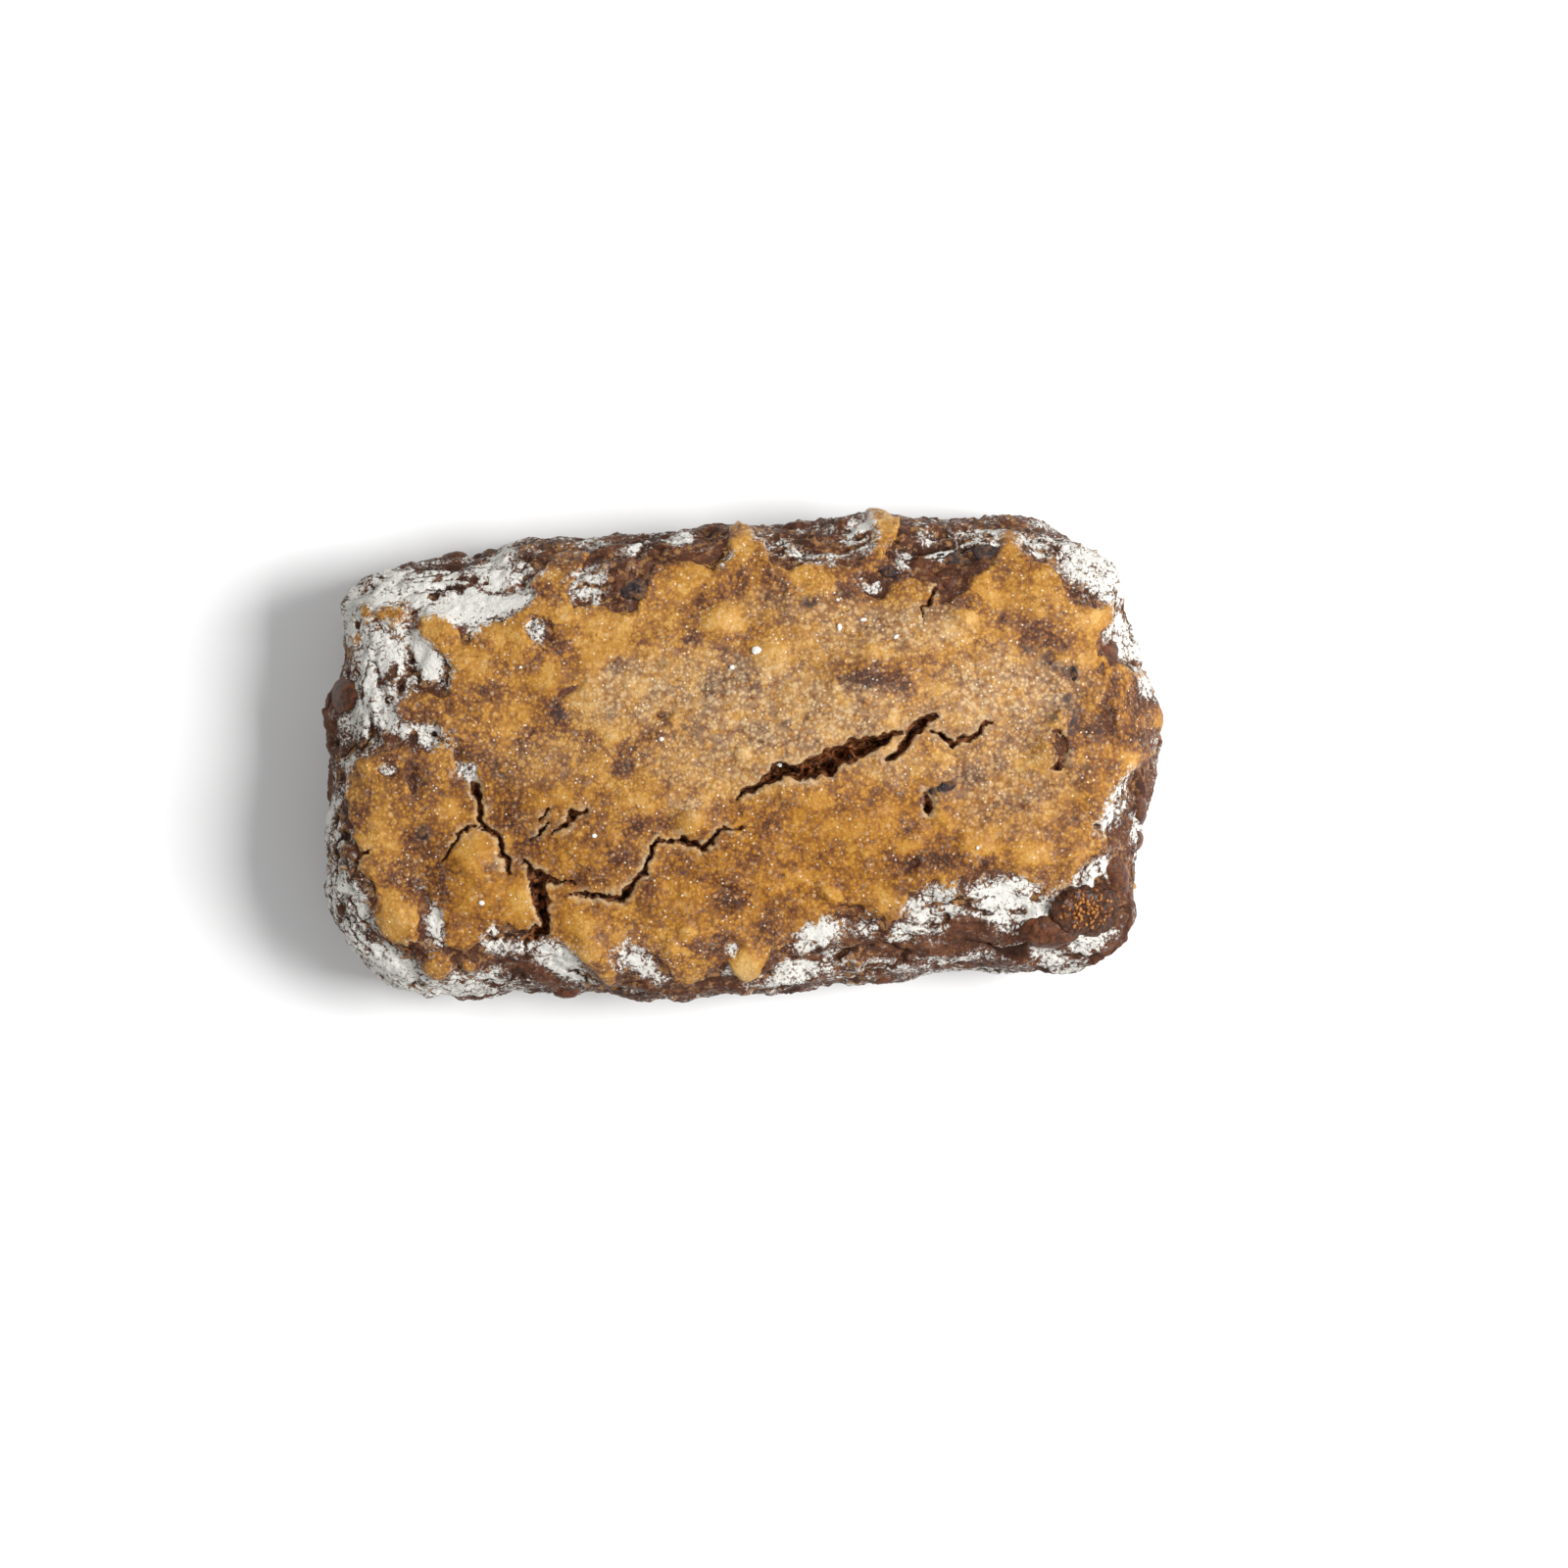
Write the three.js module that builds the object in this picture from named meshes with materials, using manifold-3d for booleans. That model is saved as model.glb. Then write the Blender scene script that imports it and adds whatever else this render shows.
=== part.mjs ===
// A baked fruit loaf: one solid of dark nut and fruit dough under a thin baked batter skin.
// It is a low rounded block with a flat base, sides that bulge, a soft shoulder and a slightly domed top.
// Whole nuts and fruit push the surface out in lumps, and the skin has split along a few ragged cracks.
// Millimetres, +Z up, +X along the loaf. The origin is the centre of the base.
import * as THREE from "three";
import { mergeVertices } from "three/addons/utils/BufferGeometryUtils.js";
import Module from "manifold-3d";

// Driving dimensions.
const LENGTH = 206; // along X, over the end lumps
const WIDTH = 117; // along Y
const HEIGHT = 52; // base to the crown of the top
const DOME = 5.5; // rise of the top from its shoulder to its crown
const SHOULDER_RADIUS = 18; // the rounding between side and top
const FOOT_INSET = 8; // how far the flat base stays inside the widest line
const FOOT_RADIUS = 15; // the rounding between base and side
const CRACK_DEPTH = 6; // of the widest crack, below the crown
const CRACK_FLOOR = 0.35; // a crack's width at its floor, as a share of its width at the top
const UNDULATION = 0.6; // how far the hand-shaped surface wanders in and out

// How finely the surface is divided.
const SEGMENTS = 108; // round the outline
const SIDE_RINGS = 7; // up each rounded stretch
const WALL_RINGS = 4; // up the steep stretch between them
const TOP_RINGS = 12; // from the shoulder to the crown
const BASE_RINGS = 3; // from the centre of the base to its edge

// The widest line seen from above, as shares of half the length and half the width, anticlockwise.
// The hand-shaped block is a little fuller at its near right corner and cut away at its far right one.
const OUTLINE = [
  [0.965, 0.0],
  [0.965, 0.2],
  [0.935, 0.4],
  [0.905, 0.6],
  [0.825, 0.8],
  [0.69, 0.925],
  [0.45, 0.972],
  [0.15, 0.985],
  [-0.2, 0.985],
  [-0.42, 0.965],
  [-0.6, 0.905],
  [-0.79, 0.87],
  [-0.9, 0.74],
  [-0.93, 0.5],
  [-0.965, 0.25],
  [-0.98, 0.0],
  [-0.985, -0.3],
  [-0.975, -0.58],
  [-0.9, -0.8],
  [-0.75, -0.9],
  [-0.5, -0.92],
  [-0.2, -0.965],
  [0.1, -0.97],
  [0.4, -0.935],
  [0.65, -0.96],
  [0.81, -0.93],
  [0.88, -0.76],
  [0.925, -0.5],
  [0.955, -0.25],
];

// Nuts and fruit that push the surface out. Each sits at the block's point nearest to x, y, z, given as shares of
// half the length, half the width and the height. radius and rise are in mm.
const LUMPS = [
  { x: 1.0, y: 0.04, z: 0.5, radius: 8, rise: 4.5 },
  { x: 1.0, y: -0.12, z: 0.35, radius: 7, rise: 2.5 },
  { x: 0.95, y: 0.4, z: 0.5, radius: 7, rise: 3.5 },
  { x: 0.86, y: -0.8, z: 0.75, radius: 10, rise: 3 },
  { x: -0.97, y: 0.32, z: 0.55, radius: 6, rise: 2.5 },
  { x: -0.99, y: -0.2, z: 0.4, radius: 9, rise: 1.5 },
  { x: -0.9, y: 0.78, z: 0.6, radius: 8, rise: 2 },
  { x: -0.46, y: -0.97, z: 0.4, radius: 8, rise: 2.4 },
  { x: -0.28, y: -1.0, z: 0.45, radius: 7, rise: 2.2 },
  { x: 0.05, y: -0.98, z: 0.4, radius: 9, rise: 1.6 },
  { x: 0.34, y: -0.95, z: 0.35, radius: 8, rise: 1.8 },
  { x: 0.58, y: -0.97, z: 0.3, radius: 8, rise: 1.6 },
  { x: -0.66, y: -0.93, z: 0.35, radius: 6, rise: 1.6 },
  { x: -0.5, y: 0.97, z: 0.5, radius: 9, rise: 1.8 },
  { x: -0.05, y: 0.98, z: 0.5, radius: 9, rise: 1.6 },
  { x: 0.3, y: 0.98, z: 0.55, radius: 9, rise: 2.2 },
  { x: 0.66, y: 0.92, z: 0.4, radius: 8, rise: 1.8 },
  { x: 0.86, y: 0.62, z: 0.75, radius: 7, rise: 2 },
  { x: -0.66, y: 0.55, z: 1, radius: 8, rise: 1.8 },
  { x: -0.26, y: 0.75, z: 0.95, radius: 7, rise: 1.6 },
  { x: -0.05, y: 0.57, z: 1, radius: 5, rise: 1.2 },
  { x: -0.66, y: -0.4, z: 1, radius: 9, rise: 1.7 },
  { x: -0.36, y: -0.75, z: 1, radius: 7, rise: 1.5 },
  { x: 0.03, y: -0.85, z: 0.9, radius: 4, rise: 2 },
  { x: -0.1, y: -0.22, z: 1, radius: 4, rise: 1.2 },
  { x: 0.45, y: -0.2, z: 1, radius: 5, rise: 1.2 },
  { x: 0.73, y: -0.02, z: 1, radius: 5, rise: 1.4 },
  { x: 0.8, y: -0.15, z: 1, radius: 5, rise: 1.5 },
  { x: 0.75, y: 0.45, z: 1, radius: 7, rise: 1.1 },
  { x: 0.5, y: -0.62, z: 1, radius: 6, rise: 1.2 },
];

// Cracks in the top: each has its line as shares of half the length and half the width, the width of its
// widest place in mm, and its depth as a share of CRACK_DEPTH.
const CRACKS = [
  {
    width: 5.5,
    depth: 1,
    line: [
      [-0.03, -0.17],
      [0.05, -0.1],
      [0.17, -0.06],
      [0.28, 0.04],
      [0.35, 0.07],
    ],
  },
  {
    width: 3,
    depth: 0.7,
    line: [
      [0.34, -0.02],
      [0.39, 0.06],
      [0.45, 0.12],
    ],
  },
  {
    width: 2.4,
    depth: 0.6,
    line: [
      [0.0, -0.27],
      [-0.12, -0.33],
      [-0.22, -0.33],
      [-0.26, -0.44],
      [-0.39, -0.53],
    ],
  },
  {
    width: 1.8,
    depth: 0.5,
    line: [
      [-0.62, -0.06],
      [-0.61, -0.18],
      [-0.56, -0.31],
      [-0.56, -0.42],
    ],
  },
  {
    width: 2.8,
    depth: 0.6,
    line: [
      [-0.53, -0.36],
      [-0.48, -0.49],
      [-0.48, -0.59],
      [-0.54, -0.68],
    ],
  },
];

// The widest line as a smooth closed curve.
const outlineCurve = new THREE.CatmullRomCurve3(
  OUTLINE.map(([x, y]) => new THREE.Vector3((x * LENGTH) / 2, (y * WIDTH) / 2, 0)),
  true,
  "centripetal",
);
const outline = outlineCurve.getSpacedPoints(SEGMENTS).slice(0, SEGMENTS);

// One quarter of a circle in steps, as [across, up] from 0,0 to 1,1: it leaves flat and arrives upright.
function quarter(steps) {
  return Array.from({ length: steps }, (_, i) => {
    const turn = ((i + 1) / steps) * (Math.PI / 2);
    return [Math.sin(turn), 1 - Math.cos(turn)];
  });
}

// The section from the widest line's point of view: rings as { inset, z, share }. inset is how far a ring lies
// inside the widest line, and share then draws it in towards the centre.
function sectionRings() {
  const rings = [];
  for (let i = 1; i <= BASE_RINGS; i++) rings.push({ inset: FOOT_INSET, z: 0, share: i / BASE_RINGS });
  for (const [across, up] of quarter(SIDE_RINGS)) {
    rings.push({ inset: FOOT_INSET * (1 - across), z: FOOT_RADIUS * up, share: 1 });
  }
  const shoulderTop = HEIGHT - DOME;
  const shoulderStart = shoulderTop - SHOULDER_RADIUS;
  for (let i = 1; i <= WALL_RINGS; i++) {
    const z = THREE.MathUtils.lerp(FOOT_RADIUS, shoulderStart, i / WALL_RINGS);
    rings.push({ inset: 0, z, share: 1 });
  }
  for (const [across, up] of quarter(SIDE_RINGS)) {
    rings.push({ inset: SHOULDER_RADIUS * up, z: shoulderStart + SHOULDER_RADIUS * across, share: 1 });
  }
  for (let i = 1; i < TOP_RINGS; i++) {
    const share = 1 - i / TOP_RINGS;
    rings.push({ inset: SHOULDER_RADIUS, z: shoulderTop + DOME * (1 - share * share), share });
  }
  return rings;
}

const rings = sectionRings();
const halfLength = LENGTH / 2;
const halfWidth = WIDTH / 2;

// A ring's point at segment i. Insets shrink the outline by the same distance on every side.
function ringPoint({ inset, z, share }, i) {
  const { x, y } = outline[i];
  return new THREE.Vector3(
    x * (1 - inset / halfLength) * share,
    y * (1 - inset / halfWidth) * share,
    z,
  );
}

// The smooth block: a closed skin over the rings, with one point at the centre of the base and one at the crown.
function smoothBlock() {
  const points = [new THREE.Vector3(0, 0, 0)];
  for (const ring of rings) {
    for (let i = 0; i < SEGMENTS; i++) points.push(ringPoint(ring, i));
  }
  const crown = points.push(new THREE.Vector3(0, 0, HEIGHT)) - 1;
  const at = (ring, i) => 1 + ring * SEGMENTS + (i % SEGMENTS);
  const faces = [];
  for (let i = 0; i < SEGMENTS; i++) {
    faces.push(0, at(0, i + 1), at(0, i));
    for (let r = 0; r + 1 < rings.length; r++) {
      faces.push(at(r, i), at(r, i + 1), at(r + 1, i + 1));
      faces.push(at(r, i), at(r + 1, i + 1), at(r + 1, i));
    }
    faces.push(at(rings.length - 1, i), at(rings.length - 1, i + 1), crown);
  }
  const geometry = new THREE.BufferGeometry().setFromPoints(points);
  geometry.setIndex(faces);
  geometry.computeVertexNormals();
  return geometry;
}

// The block's own point nearest to a place given as shares of the block.
function nearestPoint(position, { x, y, z }) {
  const wanted = new THREE.Vector3(x * halfLength, y * halfWidth, z * HEIGHT);
  const point = new THREE.Vector3();
  const nearest = new THREE.Vector3(Infinity, Infinity, Infinity);
  for (let i = 0; i < position.count; i++) {
    point.fromBufferAttribute(position, i);
    if (point.distanceTo(wanted) < nearest.distanceTo(wanted)) nearest.copy(point);
  }
  return nearest;
}

// How far the hand-shaped surface wanders out of the smooth block at a point: slow waves at three slants.
function wander({ x, y, z }) {
  const waves =
    Math.sin(x / 9 + 0.8 * Math.sin(y / 11)) * Math.cos(y / 8 - z / 10) +
    Math.sin(x / 17 - y / 13 + z / 7) +
    0.6 * Math.sin(x / 5 + z / 6) * Math.sin(y / 6 + z / 9);
  return UNDULATION * waves;
}

// Pushes the smooth block out over each lump and lets it wander, and keeps the base flat.
function shapedBlock() {
  const geometry = smoothBlock();
  const position = geometry.getAttribute("position");
  const normal = geometry.getAttribute("normal");
  const centres = LUMPS.map((lump) => nearestPoint(position, lump));
  const point = new THREE.Vector3();
  const out = new THREE.Vector3();
  for (let i = 0; i < position.count; i++) {
    point.fromBufferAttribute(position, i);
    out.fromBufferAttribute(normal, i);
    let push = wander(point);
    LUMPS.forEach(({ radius, rise }, k) => {
      push += rise * Math.exp(-((point.distanceTo(centres[k]) / radius) ** 2));
    });
    const offTheBase = THREE.MathUtils.smoothstep(point.z, 0, FOOT_RADIUS / 2);
    point.addScaledVector(out, push * offTheBase);
    position.setXYZ(i, point.x, point.y, point.z);
  }
  return geometry;
}

// A crack as a closed wedge: a ragged lens seen from above, narrower at its floor.
function crackWedge({ width, depth, line }) {
  const path = new THREE.CatmullRomCurve3(
    line.map(([x, y]) => new THREE.Vector3(x * halfLength, y * halfWidth, 0)),
  );
  const steps = 4 * (line.length - 1);
  const across = (i, side, scale) => {
    const at = path.getPoint(i / steps);
    const along = path.getTangent(i / steps);
    const ragged = 1 + 0.3 * Math.sin(2.4 * i + side);
    const half = (width / 2) * Math.sin((Math.PI * i) / steps) * ragged * scale;
    return new THREE.Vector2(at.x - side * along.y * half, at.y + side * along.x * half);
  };
  const rim = (scale) => {
    const right = Array.from({ length: steps }, (_, i) => across(i, -1, scale));
    const left = Array.from({ length: steps }, (_, i) => across(steps - i, 1, scale));
    return [...right, ...left];
  };
  const above = HEIGHT + 2 * Math.max(...LUMPS.map((lump) => lump.rise));
  const floor = HEIGHT - CRACK_DEPTH * depth;
  const low = rim(CRACK_FLOOR);
  const high = rim(1 + (1 - CRACK_FLOOR) * ((above - HEIGHT) / (HEIGHT - floor)));
  const n = low.length;
  const points = [
    ...low.map((p) => new THREE.Vector3(p.x, p.y, floor)),
    ...high.map((p) => new THREE.Vector3(p.x, p.y, above)),
  ];
  const faces = [];
  for (const [a, b, c] of THREE.ShapeUtils.triangulateShape(low, [])) {
    faces.push(a, c, b);
    faces.push(a + n, b + n, c + n);
  }
  for (let i = 0; i < n; i++) {
    const next = (i + 1) % n;
    faces.push(i, next, next + n);
    faces.push(i, next + n, i + n);
  }
  const geometry = new THREE.BufferGeometry().setFromPoints(points);
  geometry.setIndex(faces);
  return geometry;
}

const wasm = await Module();
wasm.setup();

// A closed geometry as a solid that can be cut.
function toSolid(geometry) {
  geometry.deleteAttribute("normal");
  const merged = mergeVertices(geometry, 1e-4);
  return new wasm.Manifold(
    new wasm.Mesh({
      numProp: 3,
      vertProperties: new Float32Array(merged.getAttribute("position").array),
      triVerts: new Uint32Array(merged.index.array),
    }),
  );
}

// A solid back as a geometry, with its base on z = 0 and its box centred over the origin.
function toGeometry(solid) {
  const mesh = solid.getMesh();
  const geometry = new THREE.BufferGeometry();
  geometry.setAttribute("position", new THREE.BufferAttribute(new Float32Array(mesh.vertProperties), 3));
  geometry.setIndex(new THREE.BufferAttribute(new Uint32Array(mesh.triVerts), 1));
  geometry.computeBoundingBox();
  const middle = geometry.boundingBox.getCenter(new THREE.Vector3());
  geometry.translate(-middle.x, -middle.y, -geometry.boundingBox.min.z);
  geometry.computeVertexNormals();
  return geometry;
}

function makeLoaf() {
  let solid = toSolid(shapedBlock());
  for (const crack of CRACKS) solid = solid.subtract(toSolid(crackWedge(crack)));
  const crust = new THREE.MeshStandardMaterial({ color: 0xb9833f, roughness: 0.6, metalness: 0 });
  const loaf = new THREE.Mesh(toGeometry(solid), crust);
  loaf.name = "loaf";
  return loaf;
}

const fruitLoaf = new THREE.Group();
fruitLoaf.add(makeLoaf());

export default fruitLoaf;
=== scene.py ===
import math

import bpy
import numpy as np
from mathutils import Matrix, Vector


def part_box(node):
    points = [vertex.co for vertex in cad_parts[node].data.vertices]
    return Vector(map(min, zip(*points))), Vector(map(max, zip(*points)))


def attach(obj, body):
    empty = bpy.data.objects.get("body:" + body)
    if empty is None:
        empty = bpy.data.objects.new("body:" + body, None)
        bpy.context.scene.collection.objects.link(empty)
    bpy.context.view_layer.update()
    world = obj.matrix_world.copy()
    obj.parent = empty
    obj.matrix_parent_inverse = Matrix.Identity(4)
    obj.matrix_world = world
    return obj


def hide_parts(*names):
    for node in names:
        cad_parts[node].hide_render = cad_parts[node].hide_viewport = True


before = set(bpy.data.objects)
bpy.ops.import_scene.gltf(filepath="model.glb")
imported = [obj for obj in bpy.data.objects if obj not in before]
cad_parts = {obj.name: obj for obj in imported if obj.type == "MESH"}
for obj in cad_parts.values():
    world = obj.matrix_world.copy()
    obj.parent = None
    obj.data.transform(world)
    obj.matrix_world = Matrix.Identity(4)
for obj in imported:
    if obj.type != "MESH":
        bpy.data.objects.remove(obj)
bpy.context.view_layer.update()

# %% [markdown]
# # A baked fruit loaf
# This file builds one loaf of dense fruit bread, cell by cell, around a finished solid model that gives
# its size and place. The loaf is a dark dough full of nuts and dried fruit. A thin batter was poured over
# the top before baking. It set into a golden crust with lobed edges, and it split as the loaf rose.
# Bare dough, dusted with flour, shows round the sides and underneath.
#
# Every length in the shape cells is in millimetres, because a baker's details are a few millimetres
# across. The meshes are turned into metres when they are made.

MM = 0.001
low, high = (np.array(corner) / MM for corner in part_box("loaf"))
length, width, height = high - low
print(f"the solid is {length:.1f} x {width:.1f} x {height:.1f} mm")

# %% [markdown]
# ## The camera
# A loaf like this is looked at from straight above, so that its whole crust faces the viewer. A long lens
# from a metre away keeps the sides nearly upright in the picture. The camera is rolled a few degrees, so
# the loaf lies at a slight slant, and it is placed first because nothing else depends on it.

# %% The camera, straight above
CAMERA_HEIGHT = 1.0
CAMERA_OFF_CENTRE = (0.0096, -0.0067)
CAMERA_ROLL = math.radians(-3.25)
LENS = 92.0

camera = bpy.data.objects.new("camera", bpy.data.cameras.new("camera"))
camera.location = (*CAMERA_OFF_CENTRE, CAMERA_HEIGHT)
camera.rotation_euler = (0, 0, CAMERA_ROLL)
camera.data.lens = LENS
camera.data.clip_start = 0.01
bpy.context.scene.collection.objects.link(camera)
bpy.context.scene.camera = camera
print(f"camera {CAMERA_HEIGHT} m up with a {LENS:.0f} mm lens")

# %% [markdown]
# ## Noise, for surfaces that no hand made regular
# Dough tears and bubbles at every scale. Blender has noise textures for this, but a shape that is worked
# out in numpy needs its own noise. Value noise is the simplest kind: a random number sits at each point of
# a lattice, and a smooth blend fills the space between. Adding finer and fainter copies makes it rough.

# %% Value noise and its rough sum
def lattice_value(ix, iy, iz, seed):
    """A fixed random number from 0 to 1 for each lattice point: its place, with its bits mixed."""
    mixed = (ix * 374761393 + iy * 668265263 + iz * 1440662683 + seed * 1274126177) & 0xFFFFFFFF
    mixed = ((mixed ^ (mixed >> 13)) * 1274126177) & 0xFFFFFFFF
    return ((mixed ^ (mixed >> 16)) & 0xFFFF) / 65535.0


def smooth_noise(points, size, seed):
    """Noise from -1 to 1 with lumps of about size: the eight lattice values round a point, blended by
    6t^5 - 15t^4 + 10t^3 along each axis."""
    place = points / size
    cell = np.floor(place).astype(np.int64)
    t = place - cell
    t = t * t * t * (t * (t * 6 - 15) + 10)
    total = np.zeros(len(points))
    for corner in range(8):
        step = np.array([corner & 1, corner >> 1 & 1, corner >> 2])
        weight = np.prod(np.where(step, t, 1 - t), axis=1)
        total += weight * lattice_value(*(cell + step).T, seed)
    return 2 * total - 1


def rough_noise(points, size, layers, seed):
    """A sum of noises, each half the size and a little over half the height of the one before."""
    total = np.zeros(len(points))
    for layer in range(layers):
        shifted = points + 17.3 * layer
        total += 0.55**layer * smooth_noise(shifted, size / 2**layer, seed + layer)
    return total


def smoothstep(start, end, value):
    """0 before start, 1 after end, and 3t^2 - 2t^3 between them."""
    t = np.clip((value - start) / (end - start), 0, 1)
    return t * t * (3 - 2 * t)


# %% [markdown]
# ## The block under it all
# A hand-shaped loaf is a low block with a rounded shoulder, a soft foot and a slightly domed top. It could
# be a cube with a bevel, but then its outline would be too even. Here its outline is a smooth closed
# curve through a few chosen points, and its section is a dome, a quarter circle, a wall and a foot.

# %% The outline and the section
DOME = 5.5
SHOULDER = 18.0
FOOT_INSET = 8.0
FOOT = 15.0
# The lumps and folds stand out of the smooth block, so it is a little smaller than the solid.
HALF_LENGTH = 0.4965 * length
HALF_WIDTH = 0.4915 * width
CROWN = 0.977 * height

# The widest line, as shares of half the length and half the width, anticlockwise from the +X end.
OUTLINE = np.array([
    (0.96, 0), (0.955, 0.2), (0.92, 0.4), (0.905, 0.61), (0.84, 0.81), (0.69, 0.925), (0.45, 0.955),
    (0.15, 0.958), (-0.2, 0.965), (-0.42, 0.95), (-0.6, 0.9), (-0.805, 0.88), (-0.91, 0.755), (-0.93, 0.5),
    (-0.965, 0.25), (-0.98, 0), (-0.985, -0.3), (-0.975, -0.58), (-0.9, -0.8), (-0.75, -0.9), (-0.5, -0.92),
    (-0.2, -0.965), (0.1, -0.97), (0.4, -0.935), (0.65, -0.96), (0.79, -0.925), (0.865, -0.76),
    (0.92, -0.5), (0.955, -0.25),
])


def smooth_closed(points, steps):
    """A closed curve through the points: between b and c it is the Catmull-Rom cubic
    b + t(c-a)/2 + t^2(2a-5b+4c-d)/2 + t^3(3b-a-3c+d)/2, with a and d the points beyond."""
    t = np.linspace(0, 1, steps, endpoint=False)[None, :, None]
    a, b, c, d = (np.roll(points, shift, axis=0)[:, None] for shift in (1, 0, -1, -2))
    curve = b + t * (c - a) / 2
    curve += t**2 * (2 * a - 5 * b + 4 * c - d) / 2 + t**3 * (3 * b - a - 3 * c + d) / 2
    return curve.reshape(-1, 2)


outline = smooth_closed(OUTLINE, 24) * (HALF_LENGTH, HALF_WIDTH)
outline_angle = np.arctan2(outline[:, 1], outline[:, 0])
outline_reach = np.hypot(outline[:, 0], outline[:, 1])
by_angle = np.argsort(outline_angle)
SIDE_TOP = CROWN - DOME
SIDE_START = SIDE_TOP - SHOULDER
WAIST = (FOOT + SIDE_START) / 2
FLAT_SHARE = 0.6


def section(reach, upper):
    """How a ring lies in the section, for a reach of 0 at the middle to 1 at the waist: how far it is
    inset, its height and its share of the outline. The upper half runs over the dome, round the shoulder
    by inset = r(1 - sin a) and z = r cos a, and down the wall. The lower half is the base and the foot."""
    turn = np.linspace(0, math.pi / 2, 24)
    if upper:
        inset = np.r_[SHOULDER * (1 - np.sin(turn)), 0]
        z = np.r_[SIDE_START + SHOULDER * np.cos(turn), WAIST]
        middle_inset = SHOULDER
    else:
        inset = np.r_[FOOT_INSET * (1 - np.sin(turn)), 0]
        z = np.r_[FOOT * (1 - np.cos(turn)), WAIST]
        middle_inset = FOOT_INSET
    along = np.r_[0, np.cumsum(np.hypot(np.diff(inset), np.diff(z)))]
    knots = FLAT_SHARE + (1 - FLAT_SHARE) * along / along[-1]
    share = np.clip(reach / FLAT_SHARE, 0, 1)
    flat = SIDE_TOP + DOME * (1 - share**2) if upper else np.zeros_like(reach)
    edge = reach > FLAT_SHARE
    return (
        np.where(edge, np.interp(reach, knots, inset), middle_inset),
        np.where(edge, np.interp(reach, knots, z), flat),
        share,
    )


def block(s, t, upper):
    """A point of the smooth block for s and t from -1 to 1. The reach is the larger of |s| and |t|, so the
    grid's rings are rectangles, and each ring is the outline drawn in by the section at that reach."""
    reach = np.maximum(abs(s), abs(t))
    angle = np.arctan2(t * HALF_WIDTH, s * HALF_LENGTH)
    radius = np.interp(angle, outline_angle[by_angle], outline_reach[by_angle], period=2 * math.pi)
    inset, z, share = section(reach, upper)
    x = radius * np.cos(angle) * (1 - inset / HALF_LENGTH) * share
    y = radius * np.sin(angle) * (1 - inset / HALF_WIDTH) * share
    return np.stack([x, y, z], axis=-1)


print(f"the smooth block is {2 * HALF_LENGTH:.0f} mm long, with its waist at {WAIST:.1f} mm")

# %% [markdown]
# ## Grids and normals
# Two grids of points cover the block: one from the crown down to the waist, and one from there to the
# middle of the base. Relief is then a push along each point's normal. A finer grid holds finer cracks, so
# the grid starts very fine, and a later step thins it where the surface is plain.

# %% The grid of the upper and the lower half
# How far it is over the top from side to side, along the length and along the width, in mm.
OVER_LENGTH = 250
OVER_WIDTH = 165
CELL = 0.42
COLUMNS = int(round(OVER_LENGTH / CELL))
ROWS = int(round(OVER_WIDTH / CELL))
t_grid, s_grid = np.meshgrid(np.linspace(-1, 1, ROWS + 1), np.linspace(-1, 1, COLUMNS + 1), indexing="ij")
upper = block(s_grid, t_grid, True)
lower = block(s_grid, t_grid, False)


def grid_normals(grid):
    """Unit normals of a grid: the cross product of its steps along the columns and along the rows."""
    normal = np.cross(np.gradient(grid, axis=1), np.gradient(grid, axis=0))
    return normal / np.maximum(np.linalg.norm(normal, axis=-1, keepdims=True), 1e-9)


upper_normal = grid_normals(upper)
lower_normal = -grid_normals(lower)
print(f"each half has {ROWS} x {COLUMNS} cells of about {CELL} mm")

# %% [markdown]
# ## Where things are
# The crust's edge, the cracks, the drifts of flour and the fruit were not planned by anyone, so no formula
# gives their places. They are written down as a baker would point them out: as shares of half the length
# and half the width, with sizes in millimetres.

# %% Whole nuts just under the batter: x, y, radius and rise in mm
NUTS_UNDER = [
    (-0.02, -0.835, 4.4, 1.2), (-0.63, -0.31, 5, 0.9), (-0.13, -0.24, 3.4, 1.3), (0.18, -0.57, 2, 0.9),
    (0.452, -0.265, 2.6, 1.1), (0.53, 0.53, 3, 0.8), (-0.03, 0.57, 4, 0.7), (0.08, 0.4, 4, 0.6),
    (0.74, 0.08, 2.2, 0.9), (-0.38, -0.74, 3.4, 0.9), (-0.15, -0.68, 2, 0.8), (-0.19, -0.74, 2, 0.8),
    (0.69, -0.06, 3, 1.1), (0.52, -0.4, 3.6, 0.8), (-0.69, 0.6, 4.5, 0.7), (-0.34, -0.83, 4, 1.2),
    (0.82, 0.47, 4, 0.8), (0.66, -0.46, 4, 0.6), (-0.4, -0.62, 5, 0.6), (-0.83, -0.57, 4, 0.8),
    (0, 0.02, 1.8, 0.7), (-0.85, 0.68, 3, 0.5), (-0.795, 0.665, 3.4, 0.5), (0.9, -0.09, 3, 0.8),
    (0.83, 0.17, 3, 0.7), (-0.5, 0.6, 5, 0.5), (0.57, 0.64, 4, 0.6), (0.3, 0.4, 3, 0.4),
    (-0.43, 0.36, 4, 0.5), (-0.735, -0.775, 3.6, 1), (0.71, -0.03, 2.6, 0.9), (0.21, 0.1, 1.6, 0.4),
    (-0.18, 0.1, 1.4, 0.4), (0.75, -0.49, 3, 0.5), (0.38, -0.37, 3, 0.4),
]
print(f"{len(NUTS_UNDER)} nuts lie under the batter")

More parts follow.
